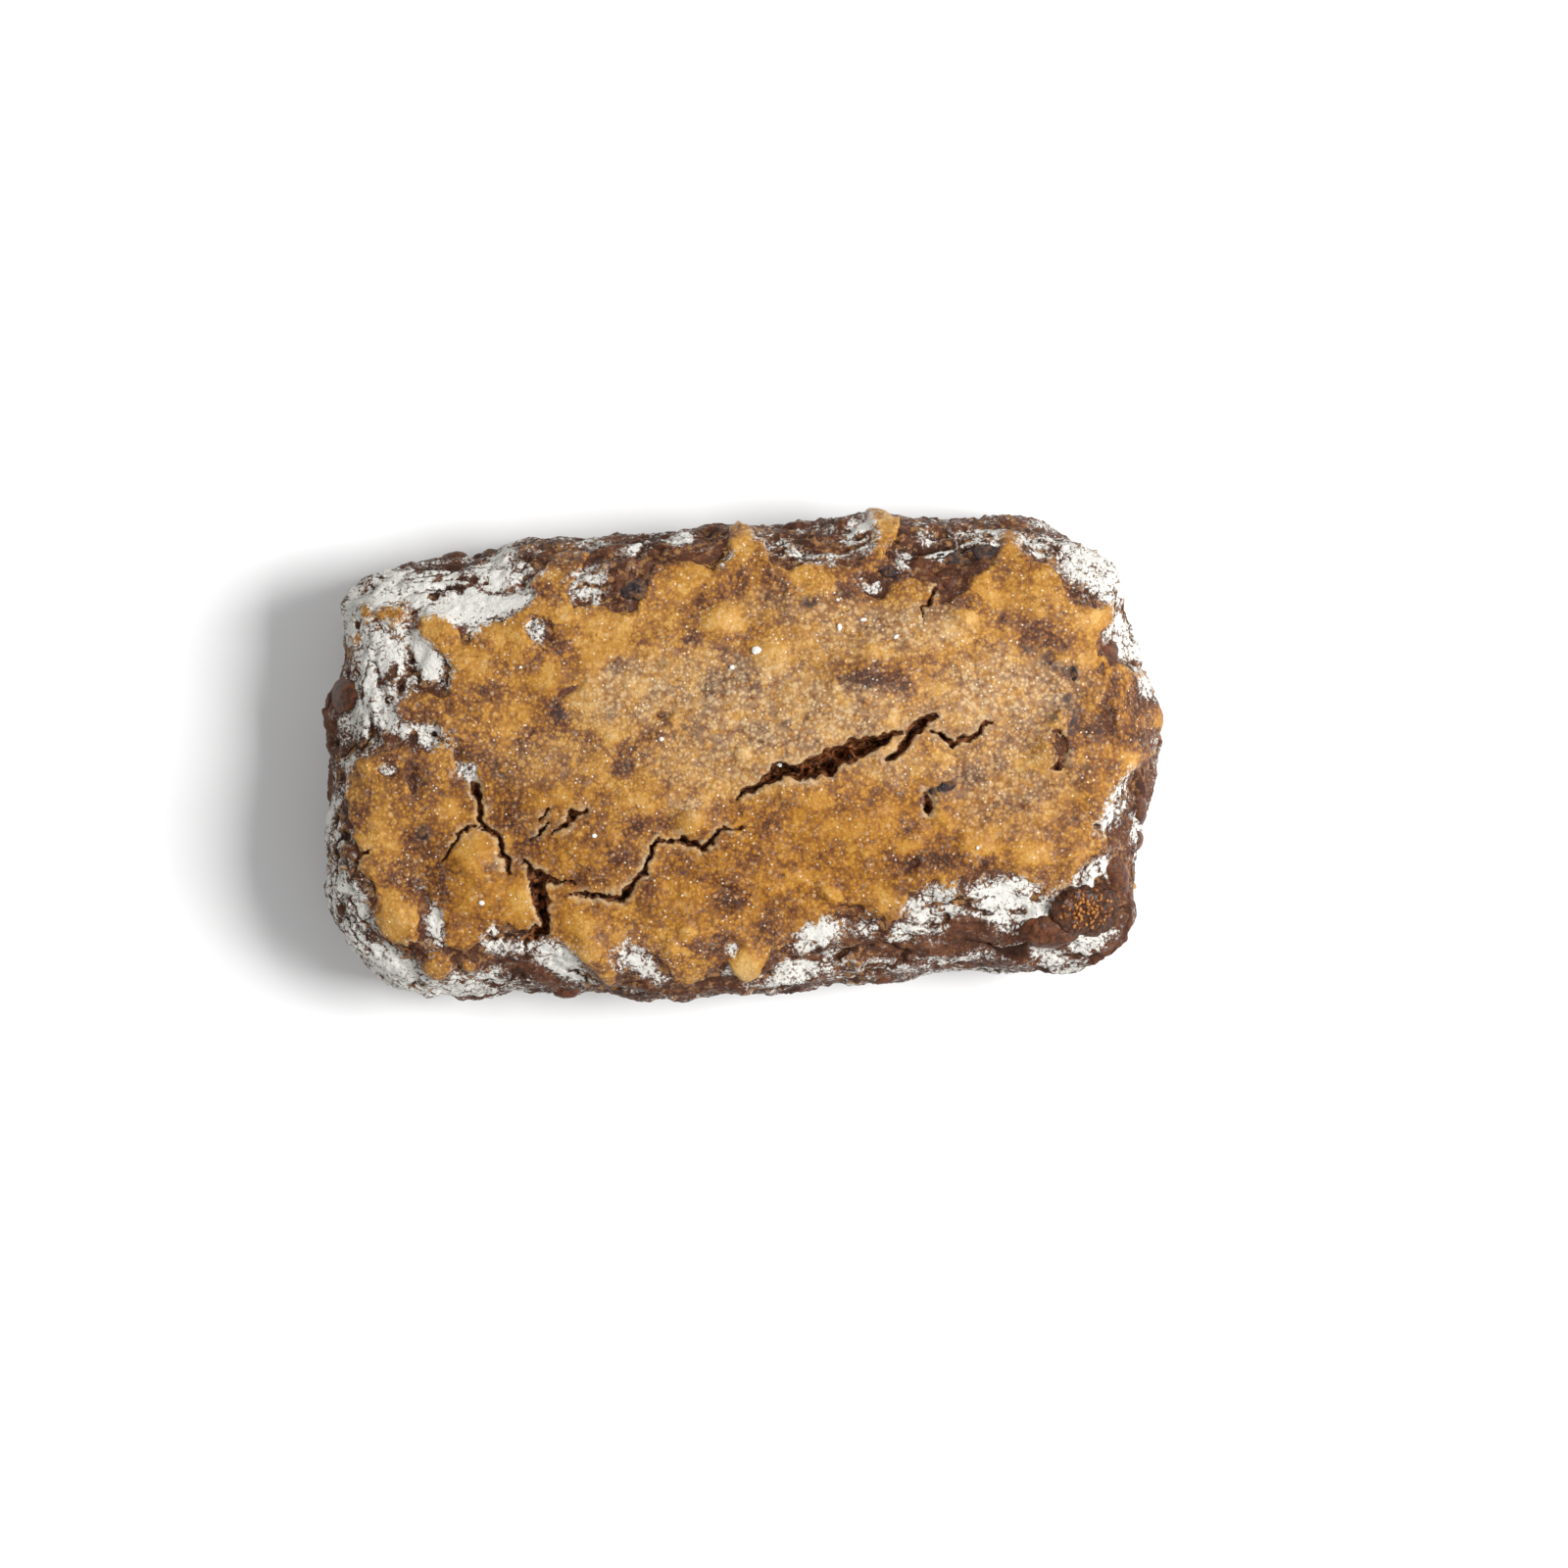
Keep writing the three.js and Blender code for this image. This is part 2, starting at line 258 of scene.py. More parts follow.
# %% The edge of the crust
CRUST_EDGE = np.array([
    (-0.93, 0.06), (-0.86, 0.1), (-0.78, 0.13), (-0.73, 0.11), (-0.68, 0.14), (-0.7, 0.19), (-0.78, 0.22),
    (-0.8, 0.3), (-0.76, 0.36), (-0.69, 0.33), (-0.665, 0.4), (-0.665, 0.46), (-0.69, 0.52), (-0.73, 0.55),
    (-0.745, 0.61), (-0.735, 0.67), (-0.7, 0.69), (-0.66, 0.65), (-0.64, 0.6), (-0.625, 0.55),
    (-0.61, 0.55), (-0.595, 0.6), (-0.55, 0.63), (-0.5, 0.67), (-0.475, 0.71), (-0.47, 0.76), (-0.44, 0.82),
    (-0.42, 0.88), (-0.38, 0.92), (-0.33, 0.89), (-0.34, 0.82), (-0.37, 0.76), (-0.385, 0.7),
    (-0.365, 0.655), (-0.31, 0.665), (-0.27, 0.63), (-0.22, 0.64), (-0.205, 0.68), (-0.2, 0.76),
    (-0.18, 0.805), (-0.12, 0.81), (-0.06, 0.79), (-0.04, 0.77), (-0.02, 0.8), (-0.01, 0.86),
    (-0.015, 0.93), (0.02, 0.98), (0.06, 0.96), (0.085, 0.88), (0.09, 0.8), (0.105, 0.77), (0.16, 0.785),
    (0.22, 0.79), (0.28, 0.775), (0.315, 0.82), (0.33, 0.88), (0.315, 0.96), (0.355, 1.0), (0.405, 0.96),
    (0.39, 0.86), (0.365, 0.79), (0.385, 0.73), (0.42, 0.7), (0.46, 0.69), (0.475, 0.65), (0.48, 0.59),
    (0.52, 0.61), (0.55, 0.68), (0.57, 0.73), (0.61, 0.75), (0.63, 0.8), (0.625, 0.86), (0.65, 0.89),
    (0.675, 0.87), (0.68, 0.8), (0.69, 0.75), (0.72, 0.72), (0.75, 0.69), (0.765, 0.64), (0.785, 0.59),
    (0.795, 0.545), (0.82, 0.53), (0.85, 0.53), (0.885, 0.57), (0.895, 0.52), (0.87, 0.45), (0.845, 0.41),
    (0.84, 0.35), (0.87, 0.3), (0.93, 0.28), (0.99, 0.22), (1.0, 0.14), (1.01, 0.05), (1.0, -0.04),
    (0.96, -0.1), (0.925, -0.13), (0.9, -0.18), (0.87, -0.21), (0.845, -0.28), (0.83, -0.34), (0.84, -0.4),
    (0.83, -0.46), (0.8, -0.49), (0.77, -0.53), (0.75, -0.58), (0.72, -0.61), (0.685, -0.65), (0.66, -0.61),
    (0.64, -0.57), (0.62, -0.53), (0.58, -0.51), (0.55, -0.49), (0.52, -0.5), (0.49, -0.53), (0.475, -0.57),
    (0.455, -0.59), (0.43, -0.56), (0.41, -0.57), (0.38, -0.6), (0.365, -0.64), (0.35, -0.69),
    (0.33, -0.71), (0.305, -0.69), (0.28, -0.65), (0.25, -0.62), (0.22, -0.63), (0.19, -0.66),
    (0.17, -0.69), (0.15, -0.73), (0.13, -0.7), (0.11, -0.72), (0.1, -0.77), (0.07, -0.8), (0.04, -0.82),
    (0.02, -0.86), (0.005, -0.9), (-0.03, -0.91), (-0.055, -0.87), (-0.07, -0.83), (-0.1, -0.85),
    (-0.12, -0.9), (-0.16, -0.92), (-0.19, -0.89), (-0.205, -0.84), (-0.22, -0.8), (-0.25, -0.76),
    (-0.29, -0.74), (-0.32, -0.77), (-0.315, -0.83), (-0.315, -0.88), (-0.34, -0.9), (-0.365, -0.86),
    (-0.385, -0.79), (-0.42, -0.755), (-0.435, -0.715), (-0.47, -0.69), (-0.505, -0.64), (-0.54, -0.655),
    (-0.57, -0.63), (-0.6, -0.645), (-0.615, -0.69), (-0.64, -0.72), (-0.68, -0.725), (-0.71, -0.69),
    (-0.725, -0.63), (-0.72, -0.56), (-0.74, -0.51), (-0.76, -0.48), (-0.77, -0.55), (-0.765, -0.61),
    (-0.775, -0.67), (-0.8, -0.69), (-0.83, -0.685), (-0.86, -0.66), (-0.875, -0.6), (-0.88, -0.53),
    (-0.875, -0.46), (-0.885, -0.4), (-0.9, -0.35), (-0.895, -0.29), (-0.91, -0.22), (-0.92, -0.12),
    (-0.93, -0.04),
])

# Drops of batter that set on their own: x, y, radius in mm.
DROPS = [
    (-0.85, 0.68, 2.9), (-0.795, 0.665, 3.4), (-0.885, 0.57, 2.2), (-0.735, -0.775, 3.8),
    (-0.66, -0.79, 1.6), (-0.3, 0.785, 1.7), (0.15, 0.875, 1.2), (0.405, 0.87, 1.3), (0.53, 0.91, 1.4),
    (0.84, 0.77, 1.6), (-0.02, -0.835, 4.6), (0.9, -0.62, 1.5), (0.24, -0.9, 1.3), (-0.52, 0.88, 1.5),
    (-0.93, -0.36, 1.6),
]

# Places inside its edge where the batter ran thin to nothing: x, y, half sizes and slant in mm and degrees.
GAPS = [
    (-0.452, 0.555, 2.6, 2.4, -30), (0.335, 0.685, 4.3, 2.2, 0), (-0.05, -0.77, 1.9, 1.4, 10),
    (-0.635, 0.0, 2.6, 2.0, 0), (-0.655, 0.06, 1.2, 2.4, 10), (-0.755, -0.03, 1.0, 2.8, 5),
    (0.422, -0.22, 1.1, 1.9, 15), (0.372, -0.485, 1.3, 0.9, 0), (0.812, -0.37, 0.7, 0.8, 0),
    (0.735, -0.035, 0.9, 3.6, 5), (0.842, 0.285, 0.9, 1.5, -10), (0.862, 0.07, 0.8, 2.6, 8),
    (-0.18, 0.185, 0.6, 0.4, 0), (-0.392, 0.315, 2.6, 0.7, 35), (-0.82, 0.03, 1.8, 0.9, -15),
    (0.545, 0.575, 0.5, 0.35, 0), (0.72, 0.33, 0.7, 0.5, 20), (0.935, 0.15, 0.9, 2.8, -12),
    (0.955, -0.02, 0.8, 2.2, 10),
]
print(f"the crust's edge has {len(CRUST_EDGE)} points, and {len(DROPS)} drops lie beyond it")

# %% The cracks, each a line of x, y and half its width in mm
CRACKS = [
    [(-0.02, -0.18, 0.2), (0, -0.145, 0.6), (0.035, -0.115, 0.8), (0.055, -0.085, 1.1), (0.08, -0.06, 2.0),
     (0.105, -0.067, 1.5), (0.13, -0.075, 1.7), (0.16, -0.06, 2.6), (0.19, -0.04, 2.9), (0.215, -0.02, 2.7),
     (0.245, 0, 2.3), (0.275, 0.02, 2.0), (0.3, 0.035, 1.8), (0.33, 0.055, 1.1), (0.37, 0.07, 0.4)],
    [(0.34, -0.035, 0.8), (0.37, 0.01, 1.2), (0.395, 0.06, 1.2), (0.415, 0.095, 1.7), (0.435, 0.108, 1.3),
     (0.455, 0.12, 0.4)],
    [(0.445, 0.055, 0.5), (0.468, 0.035, 0.8), (0.482, 0.015, 0.6), (0.5, 0.005, 0.7), (0.525, 0.03, 0.6),
     (0.548, 0.06, 0.6), (0.565, 0.09, 0.4), (0.585, 0.1, 0.15)],
    [(-0.005, -0.275, 0.2), (-0.03, -0.285, 0.35), (-0.05, -0.27, 0.4), (-0.07, -0.3, 0.5),
     (-0.08, -0.325, 0.6), (-0.11, -0.35, 0.75), (-0.13, -0.335, 1.2), (-0.15, -0.315, 1.1),
     (-0.165, -0.315, 0.5), (-0.19, -0.31, 0.4), (-0.21, -0.32, 0.35), (-0.225, -0.345, 0.5),
     (-0.23, -0.39, 0.5), (-0.245, -0.44, 0.5), (-0.27, -0.48, 0.7), (-0.285, -0.51, 1.1),
     (-0.3, -0.54, 0.6), (-0.325, -0.53, 0.5), (-0.355, -0.525, 0.8), (-0.38, -0.53, 0.7),
     (-0.405, -0.515, 0.4), (-0.43, -0.51, 0.15)],
    [(-0.625, -0.045, 0.4), (-0.615, -0.1, 0.7), (-0.61, -0.145, 0.7), (-0.615, -0.19, 0.5),
     (-0.6, -0.23, 0.5), (-0.573, -0.26, 0.5), (-0.565, -0.305, 0.9), (-0.563, -0.36, 0.8),
     (-0.558, -0.41, 0.2)],
    [(-0.61, -0.225, 0.3), (-0.635, -0.225, 0.45), (-0.66, -0.24, 0.5), (-0.672, -0.27, 0.35),
     (-0.69, -0.32, 0.25), (-0.705, -0.345, 0.1)],
    [(-0.52, -0.37, 0.3), (-0.505, -0.385, 0.45), (-0.497, -0.425, 0.9), (-0.483, -0.45, 1.8),
     (-0.488, -0.49, 1.6), (-0.485, -0.53, 1.3), (-0.477, -0.575, 1.7), (-0.473, -0.605, 1.3),
     (-0.482, -0.645, 1.5), (-0.5, -0.66, 1.4), (-0.52, -0.68, 0.9), (-0.56, -0.69, 0.4)],
    [(-0.472, -0.45, 0.8), (-0.45, -0.46, 0.4), (-0.425, -0.455, 0.25), (-0.4, -0.47, 0.1)],
    [(-0.37, -0.17, 0.4), (-0.393, -0.18, 0.7), (-0.41, -0.215, 0.7), (-0.425, -0.245, 0.7),
     (-0.44, -0.26, 0.2)],
    [(-0.458, -0.225, 0.3), (-0.48, -0.255, 0.5), (-0.495, -0.285, 0.25)],
    [(-0.458, -0.165, 0.25), (-0.475, -0.19, 0.4), (-0.482, -0.2, 0.2)],
    [(-0.873, -0.3, 0.4), (-0.89, -0.31, 0.55), (-0.905, -0.34, 0.5), (-0.915, -0.37, 0.2)],
    [(-0.79, -0.695, 0.5), (-0.81, -0.71, 0.8), (-0.83, -0.72, 0.4)],
    [(0.478, 0.67, 0.5), (0.46, 0.625, 0.5), (0.45, 0.6, 0.25), (0.435, 0.565, 0.15), (0.43, 0.515, 0.1)],
    [(0.412, -0.19, 0.5), (0.42, -0.22, 1.0), (0.425, -0.255, 0.8)],
    [(0.808, -0.365, 0.5), (0.815, -0.378, 0.5)],
    [(0.722, 0.03, 0.15), (0.742, 0.03, 0.35), (0.752, -0.01, 0.2), (0.744, -0.06, 0.35), (0.73, -0.1, 0.5),
     (0.712, -0.115, 0.3)],
]
print(f"{len(CRACKS)} cracks")

# %% Flour that stuck to the dough: x, y, half sizes in mm, slant in degrees, how thick
FLOUR = [
    (-0.61, 0.69, 13, 4.4, 0, 1.6), (-0.75, 0.8, 13, 5, 8, 1.15), (-0.55, 0.85, 7, 4.5, 60, 1.2),
    (-0.47, 0.8, 5, 2.5, 15, 1), (-0.595, 0.61, 2.6, 4, 10, 1.1), (-0.715, 0.48, 7, 3.8, -30, 1.45),
    (-0.83, 0.45, 7, 12, -10, 1.05), (-0.89, 0.7, 5, 8, 0, 1), (-0.77, 0.19, 11, 2.6, -15, 0.92),
    (-0.88, 0.24, 6, 7, 10, 0.97), (-0.92, 0.05, 1.8, 5, 0, 0.9), (-0.33, 0.73, 4.2, 4.6, 20, 1),
    (-0.395, 0.79, 1.6, 1.2, 0, 1), (-0.21, 0.875, 5, 2, 20, 0.95), (-0.12, 0.9, 4, 1.9, 8, 1.05),
    (-0.005, 0.81, 1.5, 3.5, -20, 0.85), (0.12, 0.87, 6, 2.6, -15, 0.75), (0.21, 0.8, 6, 1.8, -5, 0.75),
    (0.31, 0.89, 4.2, 4.6, -40, 0.95), (-0.32, 0.92, 5, 1.5, 8, 0.75), (0.31, 0.665, 3, 1.6, 5, 0.8),
    (0.392, 0.76, 1.8, 2.6, 10, 0.8), (0.45, 0.88, 2, 2.6, -30, 0.95), (0.495, 0.82, 5, 2.5, 10, 1.1),
    (0.58, 0.88, 8, 2.4, 5, 0.9), (0.61, 0.82, 2, 2, 0, 0.8), (0.735, 0.78, 8, 2.4, -25, 0.93),
    (0.835, 0.67, 9, 5.5, -45, 0.93), (0.87, 0.59, 4, 3.5, 0, 0.98), (0.8, 0.78, 9, 3.5, -28, 0.95),
    (0.9, 0.4, 7, 3, -65, 0.98), (0.95, 0.22, 3, 3, 0, 0.9), (0.865, -0.27, 7.5, 2.4, 60, 1.0),
    (0.935, -0.38, 2, 6, 0, 1), (0.785, -0.56, 5.5, 3.4, 40, 1.0), (0.6, -0.65, 9.5, 4.6, -5, 1.12),
    (0.535, -0.575, 3.6, 2.6, 0, 1), (0.43, -0.65, 6.5, 5, 30, 1.0), (0.36, -0.75, 5, 1.8, 30, 0.8),
    (0.78, -0.82, 4, 3, 35, 1.0), (0.62, -0.72, 5, 3, 0, 0.7), (0.3, -0.92, 14, 2.0, 4, 0.72),
    (0.5, -0.87, 14, 2.0, 6, 0.7), (0.7, -0.9, 9, 2.4, -12, 0.8), (0.15, -0.75, 5.5, 3.2, 20, 1.15),
    (0.19, -0.82, 4, 2, 0, 0.75), (0.26, -0.72, 3, 2.4, 0, 0.7), (0.1, -0.91, 11, 2.2, 10, 0.9),
    (-0.06, -0.775, 1.6, 1.3, 0, 0.9), (-0.07, -0.86, 1.4, 1.6, 0, 0.8),
    (-0.265, -0.815, 7, 2.8, -38, 1.05), (-0.5, -0.735, 8, 3.2, -12, 0.98),
    (-0.425, -0.81, 6.5, 3.2, -42, 1), (-0.595, -0.71, 3, 3.4, 20, 0.85), (-0.735, -0.59, 2.6, 6, -8, 0.9),
    (-0.66, -0.88, 13, 3, -6, 0.95), (-0.955, -0.17, 3.6, 8, 0, 1), (-0.935, -0.52, 4.4, 10, 5, 1.05),
    (-0.93, -0.7, 4, 5, 0, 1), (-0.84, -0.8, 9, 4.5, -28, 1.05), (-0.635, 0, 2.3, 1.6, 0, 0.9),
    (-0.83, 0.025, 2, 1, 0, 0.8), (-0.765, -0.41, 2.2, 2.6, 0, 0.42), (-0.45, 0.56, 2.2, 2, 0, 0.95),
    (0.082, -0.035, 0.9, 0.8, 0, 0.9), (-0.27, -0.355, 3.4, 2.6, 0, 0.34), (0.35, 0.47, 3, 2, -10, 0.34),
    (0.3, 0.53, 1.4, 1, 0, 0.5),
]
print(f"{len(FLOUR)} drifts of flour")

# %% How thick the batter set: x, y, half sizes, slant, and from -1 for a thin veil to 1 for a thick pool
BATTER = [
    (-0.69, 0.6, 6, 4.5, 0, 0.8), (-0.62, 0.45, 6, 5, 0, 0.6), (-0.5, 0.58, 9, 4, 10, 0.7),
    (-0.43, 0.36, 4, 3, 0, 0.7), (-0.36, 0.3, 4.5, 3.5, 0, 0.6), (-0.53, 0.22, 5, 3.5, 0, 0.5),
    (-0.3, 0.5, 6, 7, 0, 0.7), (-0.37, 0.62, 4, 3, 0, 0.5), (-0.31, 0.14, 3.5, 3, 0, 0.6),
    (-0.1, 0.72, 8, 4.5, -10, 0.55), (-0.03, 0.57, 5, 3.5, 10, 0.9), (0.08, 0.4, 4.6, 3.4, -20, 0.85),
    (0.16, 0.73, 6, 3.4, 0, 0.5), (0.04, 0.88, 2.6, 5, 0, 0.6), (0.36, 0.87, 2.4, 6, -10, 0.7),
    (0.31, 0.4, 3, 2, 0, 0.4), (0.13, 0.47, 4, 3, 0, 0.4), (0.08, 0.14, 2.4, 2, 0, 0.4),
    (-0.27, 0.13, 4, 3, 0, 0.5), (0.57, 0.64, 5, 3, 0, 0.6), (0.53, 0.53, 3.2, 2.6, 0, 0.9),
    (0.62, 0.59, 5, 3, 0, 0.55), (0.72, 0.64, 4, 3.6, 0, 0.6), (0.5, 0.465, 4.6, 2.2, -30, 0.7),
    (0.82, 0.47, 4.4, 3, 20, 0.6), (0.7, 0.55, 4, 3, 0, 0.4), (0.74, 0.08, 2.2, 2.2, 0, 0.95),
    (0.69, 0.03, 3, 2, 0, 0.6), (0.8, 0.3, 2.6, 2, 0, 0.4), (0.83, 0.17, 3, 2.4, 0, 0.45),
    (-0.63, -0.31, 5, 4.4, 0, 1), (-0.62, -0.5, 8, 5.5, 0, 0.6), (-0.51, -0.51, 3.6, 6, -15, 0.85),
    (-0.83, -0.57, 5, 4.6, 0, 0.75), (-0.69, -0.13, 3, 2.6, 0, 0.6), (-0.85, -0.2, 4, 4, 0, 0.4),
    (-0.45, -0.12, 4.6, 2.6, 0, 0.5), (-0.32, 0, 3.6, 3, 0, 0.5), (-0.4, -0.62, 7, 3.4, -20, 0.8),
    (-0.38, -0.74, 3.4, 2.4, 0, 0.6), (-0.13, -0.24, 3.6, 2.8, 20, 1), (0, 0.02, 2.2, 1.6, 0, 0.8),
    (0.18, -0.57, 1.8, 2.4, 20, 1), (-0.15, -0.68, 2.2, 1.5, 0, 0.8), (-0.19, -0.74, 2.2, 1.8, 0, 0.7),
    (-0.02, -0.835, 4.6, 4.2, 0, 1.2), (0.14, -0.2, 5, 4, 0, 0.3), (-0.25, -0.14, 6, 3.4, 0, 0.5),
    (0.452, -0.265, 3, 2.2, -40, 0.9), (0.52, -0.4, 4, 3.4, 0, 0.75), (0.66, -0.46, 5.5, 3.6, -20, 0.7),
    (0.75, -0.49, 4, 2.6, 0, 0.6), (0.69, -0.06, 2.8, 2.8, 0, 0.6), (0.9, -0.09, 2.6, 2.4, 0, 0.6),
    (0.43, -0.53, 2, 1.4, 0, 0.7), (0.38, -0.38, 3, 2, 0, 0.4), (0.3, -0.62, 5, 3, 0, 0.5),
    (0.95, 0.05, 3, 3, 0, 0.7), (-0.16, -0.55, 6, 4, 0, 0.35), (0.26, -0.3, 9, 5, 0, 0.25),
    (-0.42, 0.49, 5, 3, 0, -0.8), (-0.42, 0.22, 2.4, 4, 20, -0.9), (-0.36, 0.12, 4, 3, 0, -0.5),
    (-0.57, 0.34, 5, 3, 0, -0.6), (-0.62, 0.1, 5, 4, 0, -0.55), (-0.48, 0.12, 6, 3, 0, -0.6),
    (-0.57, 0.03, 5, 3, 0, -0.5), (-0.28, 0.4, 2.8, 2.4, 0, -0.9), (-0.27, 0.14, 2, 2, 0, -0.3),
    (-0.09, 0.48, 3.4, 1.8, 0, -0.7), (-0.02, 0.45, 2.2, 1.2, 0, -0.8), (0, 0.37, 3.8, 4, 0, -0.8),
    (0.03, 0.27, 4.4, 3, 0, -0.7), (-0.06, 0.3, 3, 3, 0, -0.6), (0.1, 0.13, 3, 1.8, 0, -0.7),
    (0.16, 0.05, 3, 2, 0, -0.4), (0.28, 0.28, 4, 2.6, 0, -1), (0.36, 0.27, 6, 3, 0, -1),
    (0.23, 0.62, 4.6, 1.6, 0, -0.9), (0.1, 0.67, 3, 5, 0, -0.8), (-0.06, 0.66, 4.4, 2, 10, -0.7),
    (0.03, 0.72, 2, 3, 0, -0.5), (0.03, 0.09, 3, 3, 0, -0.4), (-0.26, 0.09, 3, 2, 0, -0.6),
    (0.7, 0.43, 7, 3, 0, -0.9), (0.64, 0.49, 5, 2, 0, -0.8), (0.8, 0.02, 6, 4, 0, -0.9),
    (0.75, 0.28, 5, 2, 0, -0.7), (0.77, 0.14, 6, 3, 0, -0.6), (0.86, 0.1, 3, 5, 0, -0.6),
    (-0.55, -0.12, 4, 3, 0, -0.6), (-0.5, -0.31, 4, 3, 0, -0.6), (-0.38, -0.43, 6, 2.6, 0, -0.6),
    (-0.88, -0.15, 2, 4, 0, -0.5), (-0.75, -0.3, 4, 6, 0, -0.7), (-0.74, 0.02, 5, 4, 0, -0.5),
    (-0.22, -0.25, 4.4, 2.8, 20, -0.9), (-0.27, 0, 3.4, 2.6, 0, -0.8), (-0.28, -0.35, 5, 3, 0, -0.7),
    (-0.17, -0.42, 5, 2, 0, -0.5), (-0.03, -0.56, 4.4, 3.6, 0, -0.9), (0.05, -0.28, 3, 4, 0, -0.6),
    (0.01, -0.21, 2, 1.4, 0, -0.6), (-0.08, -0.48, 4, 2.4, 0, -0.5), (0.04, -0.7, 3, 3, 0, -0.7),
    (0.06, -0.77, 3, 2, 0, -0.7), (-0.1, -0.73, 5, 2, 0, -0.6), (0.43, -0.46, 7, 2.4, 0, -1),
    (0.55, -0.47, 2.6, 1.6, 0, -0.9), (0.61, -0.25, 5, 3, 0, -0.6), (0.53, -0.14, 4, 3, 0, -0.6),
    (0.79, -0.14, 4, 3, 0, -0.5), (0.77, -0.3, 4, 3, 0, -0.4), (0.52, 0.66, 2.6, 4, 0, -0.9),
    (0.35, 0.7, 7, 2, 0, -0.8), (-0.8, -0.42, 4, 3, 0, -0.6), (0.93, 0.0, 3, 6, 0, -0.7),
    (0.87, 0.2, 2.4, 4, 0, -0.6), (0.93, 0.2, 3, 4, 0, -0.5), (-0.38, 0.9, 5, 5, 0, -0.9),
    (-0.7, 0.27, 6, 3, 0, -0.5), (-0.7, -0.42, 4, 8, 0, -0.6), (-0.55, -0.2, 6, 3, 0, -0.5),
]

print(f"{len(BATTER)} pools and veils of batter")

# %% Haze, amber and dark fruit, which colour the batter
# A pale floury haze, where fine flour and sugar set into the batter: x, y, half sizes, slant, strength.
HAZE = [
    (0.62, 0.2, 18, 10, 0, 1.0), (0.3, 0.48, 18, 6, 0, 0.8), (-0.12, 0.3, 20, 9, 0, 0.75),
    (0.45, 0.5, 9, 5, 0, 0.7), (0, 0.02, 22, 8, 0, 0.8), (0.25, 0.15, 16, 6, 0, 0.85),
    (0.62, -0.12, 16, 8, 0, 0.6), (0.6, -0.3, 14, 6, 0, 0.35), (0.07, 0.23, 17, 10, 0, 1.0),
    (-0.13, -0.17, 6, 3, 0, 0.8), (-0.28, 0.27, 12, 9, 0, 0.6), (0.36, -0.06, 10, 4, 0, 0.6),
    (-0.45, 0.03, 14, 6, 0, 0.35), (0.12, 0.6, 14, 4, 0, 0.4),
]

# Where the batter baked to a deeper amber: x, y, half sizes, slant, strength.
AMBER = [
    (0.1, -0.42, 45, 17, 4, 1), (-0.55, -0.2, 24, 14, 0, 0.8), (-0.55, -0.55, 24, 14, 0, 0.9),
    (0.6, -0.3, 24, 12, 0, 0.7), (-0.5, 0.4, 22, 12, 0, 0.4), (0.6, 0.7, 20, 8, 0, 0.5),
    (0, 0.75, 30, 6, 0, 0.4), (0.85, 0.1, 10, 20, 0, 0.6),
]

# Prunes and raisins that show blue-black under the batter: x, y, half sizes, slant, strength.
DARK_FRUIT = [
    (0.175, 0.615, 2.2, 1.5, 0, 1), (0.37, 0.725, 3, 1.8, -20, 1), (0.72, 0.33, 2, 2, 0, 1),
    (0.745, 0.29, 2, 1.2, 0, 0.7), (0.775, 0.27, 1.3, 2.4, 5, 1), (0.76, 0.17, 1.4, 1.3, 0, 1),
    (0.72, 0.09, 1.4, 1.3, 0, 0.9), (0.767, 0.05, 1.4, 2.6, -20, 0.9), (0.455, -0.17, 3.6, 1.5, 12, 1),
    (-0.745, -0.23, 2.2, 2.4, 0, 0.8), (0.06, 0.455, 1, 1, 0, 0.3), (-0.02, 0.46, 1.8, 1, 0, 0.6),
    (0.1, 0.13, 1.8, 1, 0, 0.7), (-0.27, 0, 2, 1.5, 0, 0.6), (-0.17, 0.4, 1.8, 1.2, 0, 0.5),
    (0.68, 0.37, 2, 1, 0, 0.5), (0.79, -0.12, 1.4, 0.9, 0, 0.6), (-0.42, 0.23, 1.2, 2.6, 15, 0.7),
    (-0.28, 0.4, 1.2, 1, 0, 0.6), (0.51, -0.03, 1.3, 0.9, 0, 0.5), (-0.73, 0.0, 1.4, 2.4, 0, 0.5),
    (-0.15, -0.45, 1, 0.8, 0, 0.9), (0.3, 0.27, 1.6, 1.2, 0, 0.5), (0.84, -0.17, 1.2, 1, 0, 0.4),
    (-0.03, 0.44, 1.4, 0.8, 0, 0.4),
]
print(f"{len(HAZE)} hazy places, {len(AMBER)} amber ones and {len(DARK_FRUIT)} dark fruits")

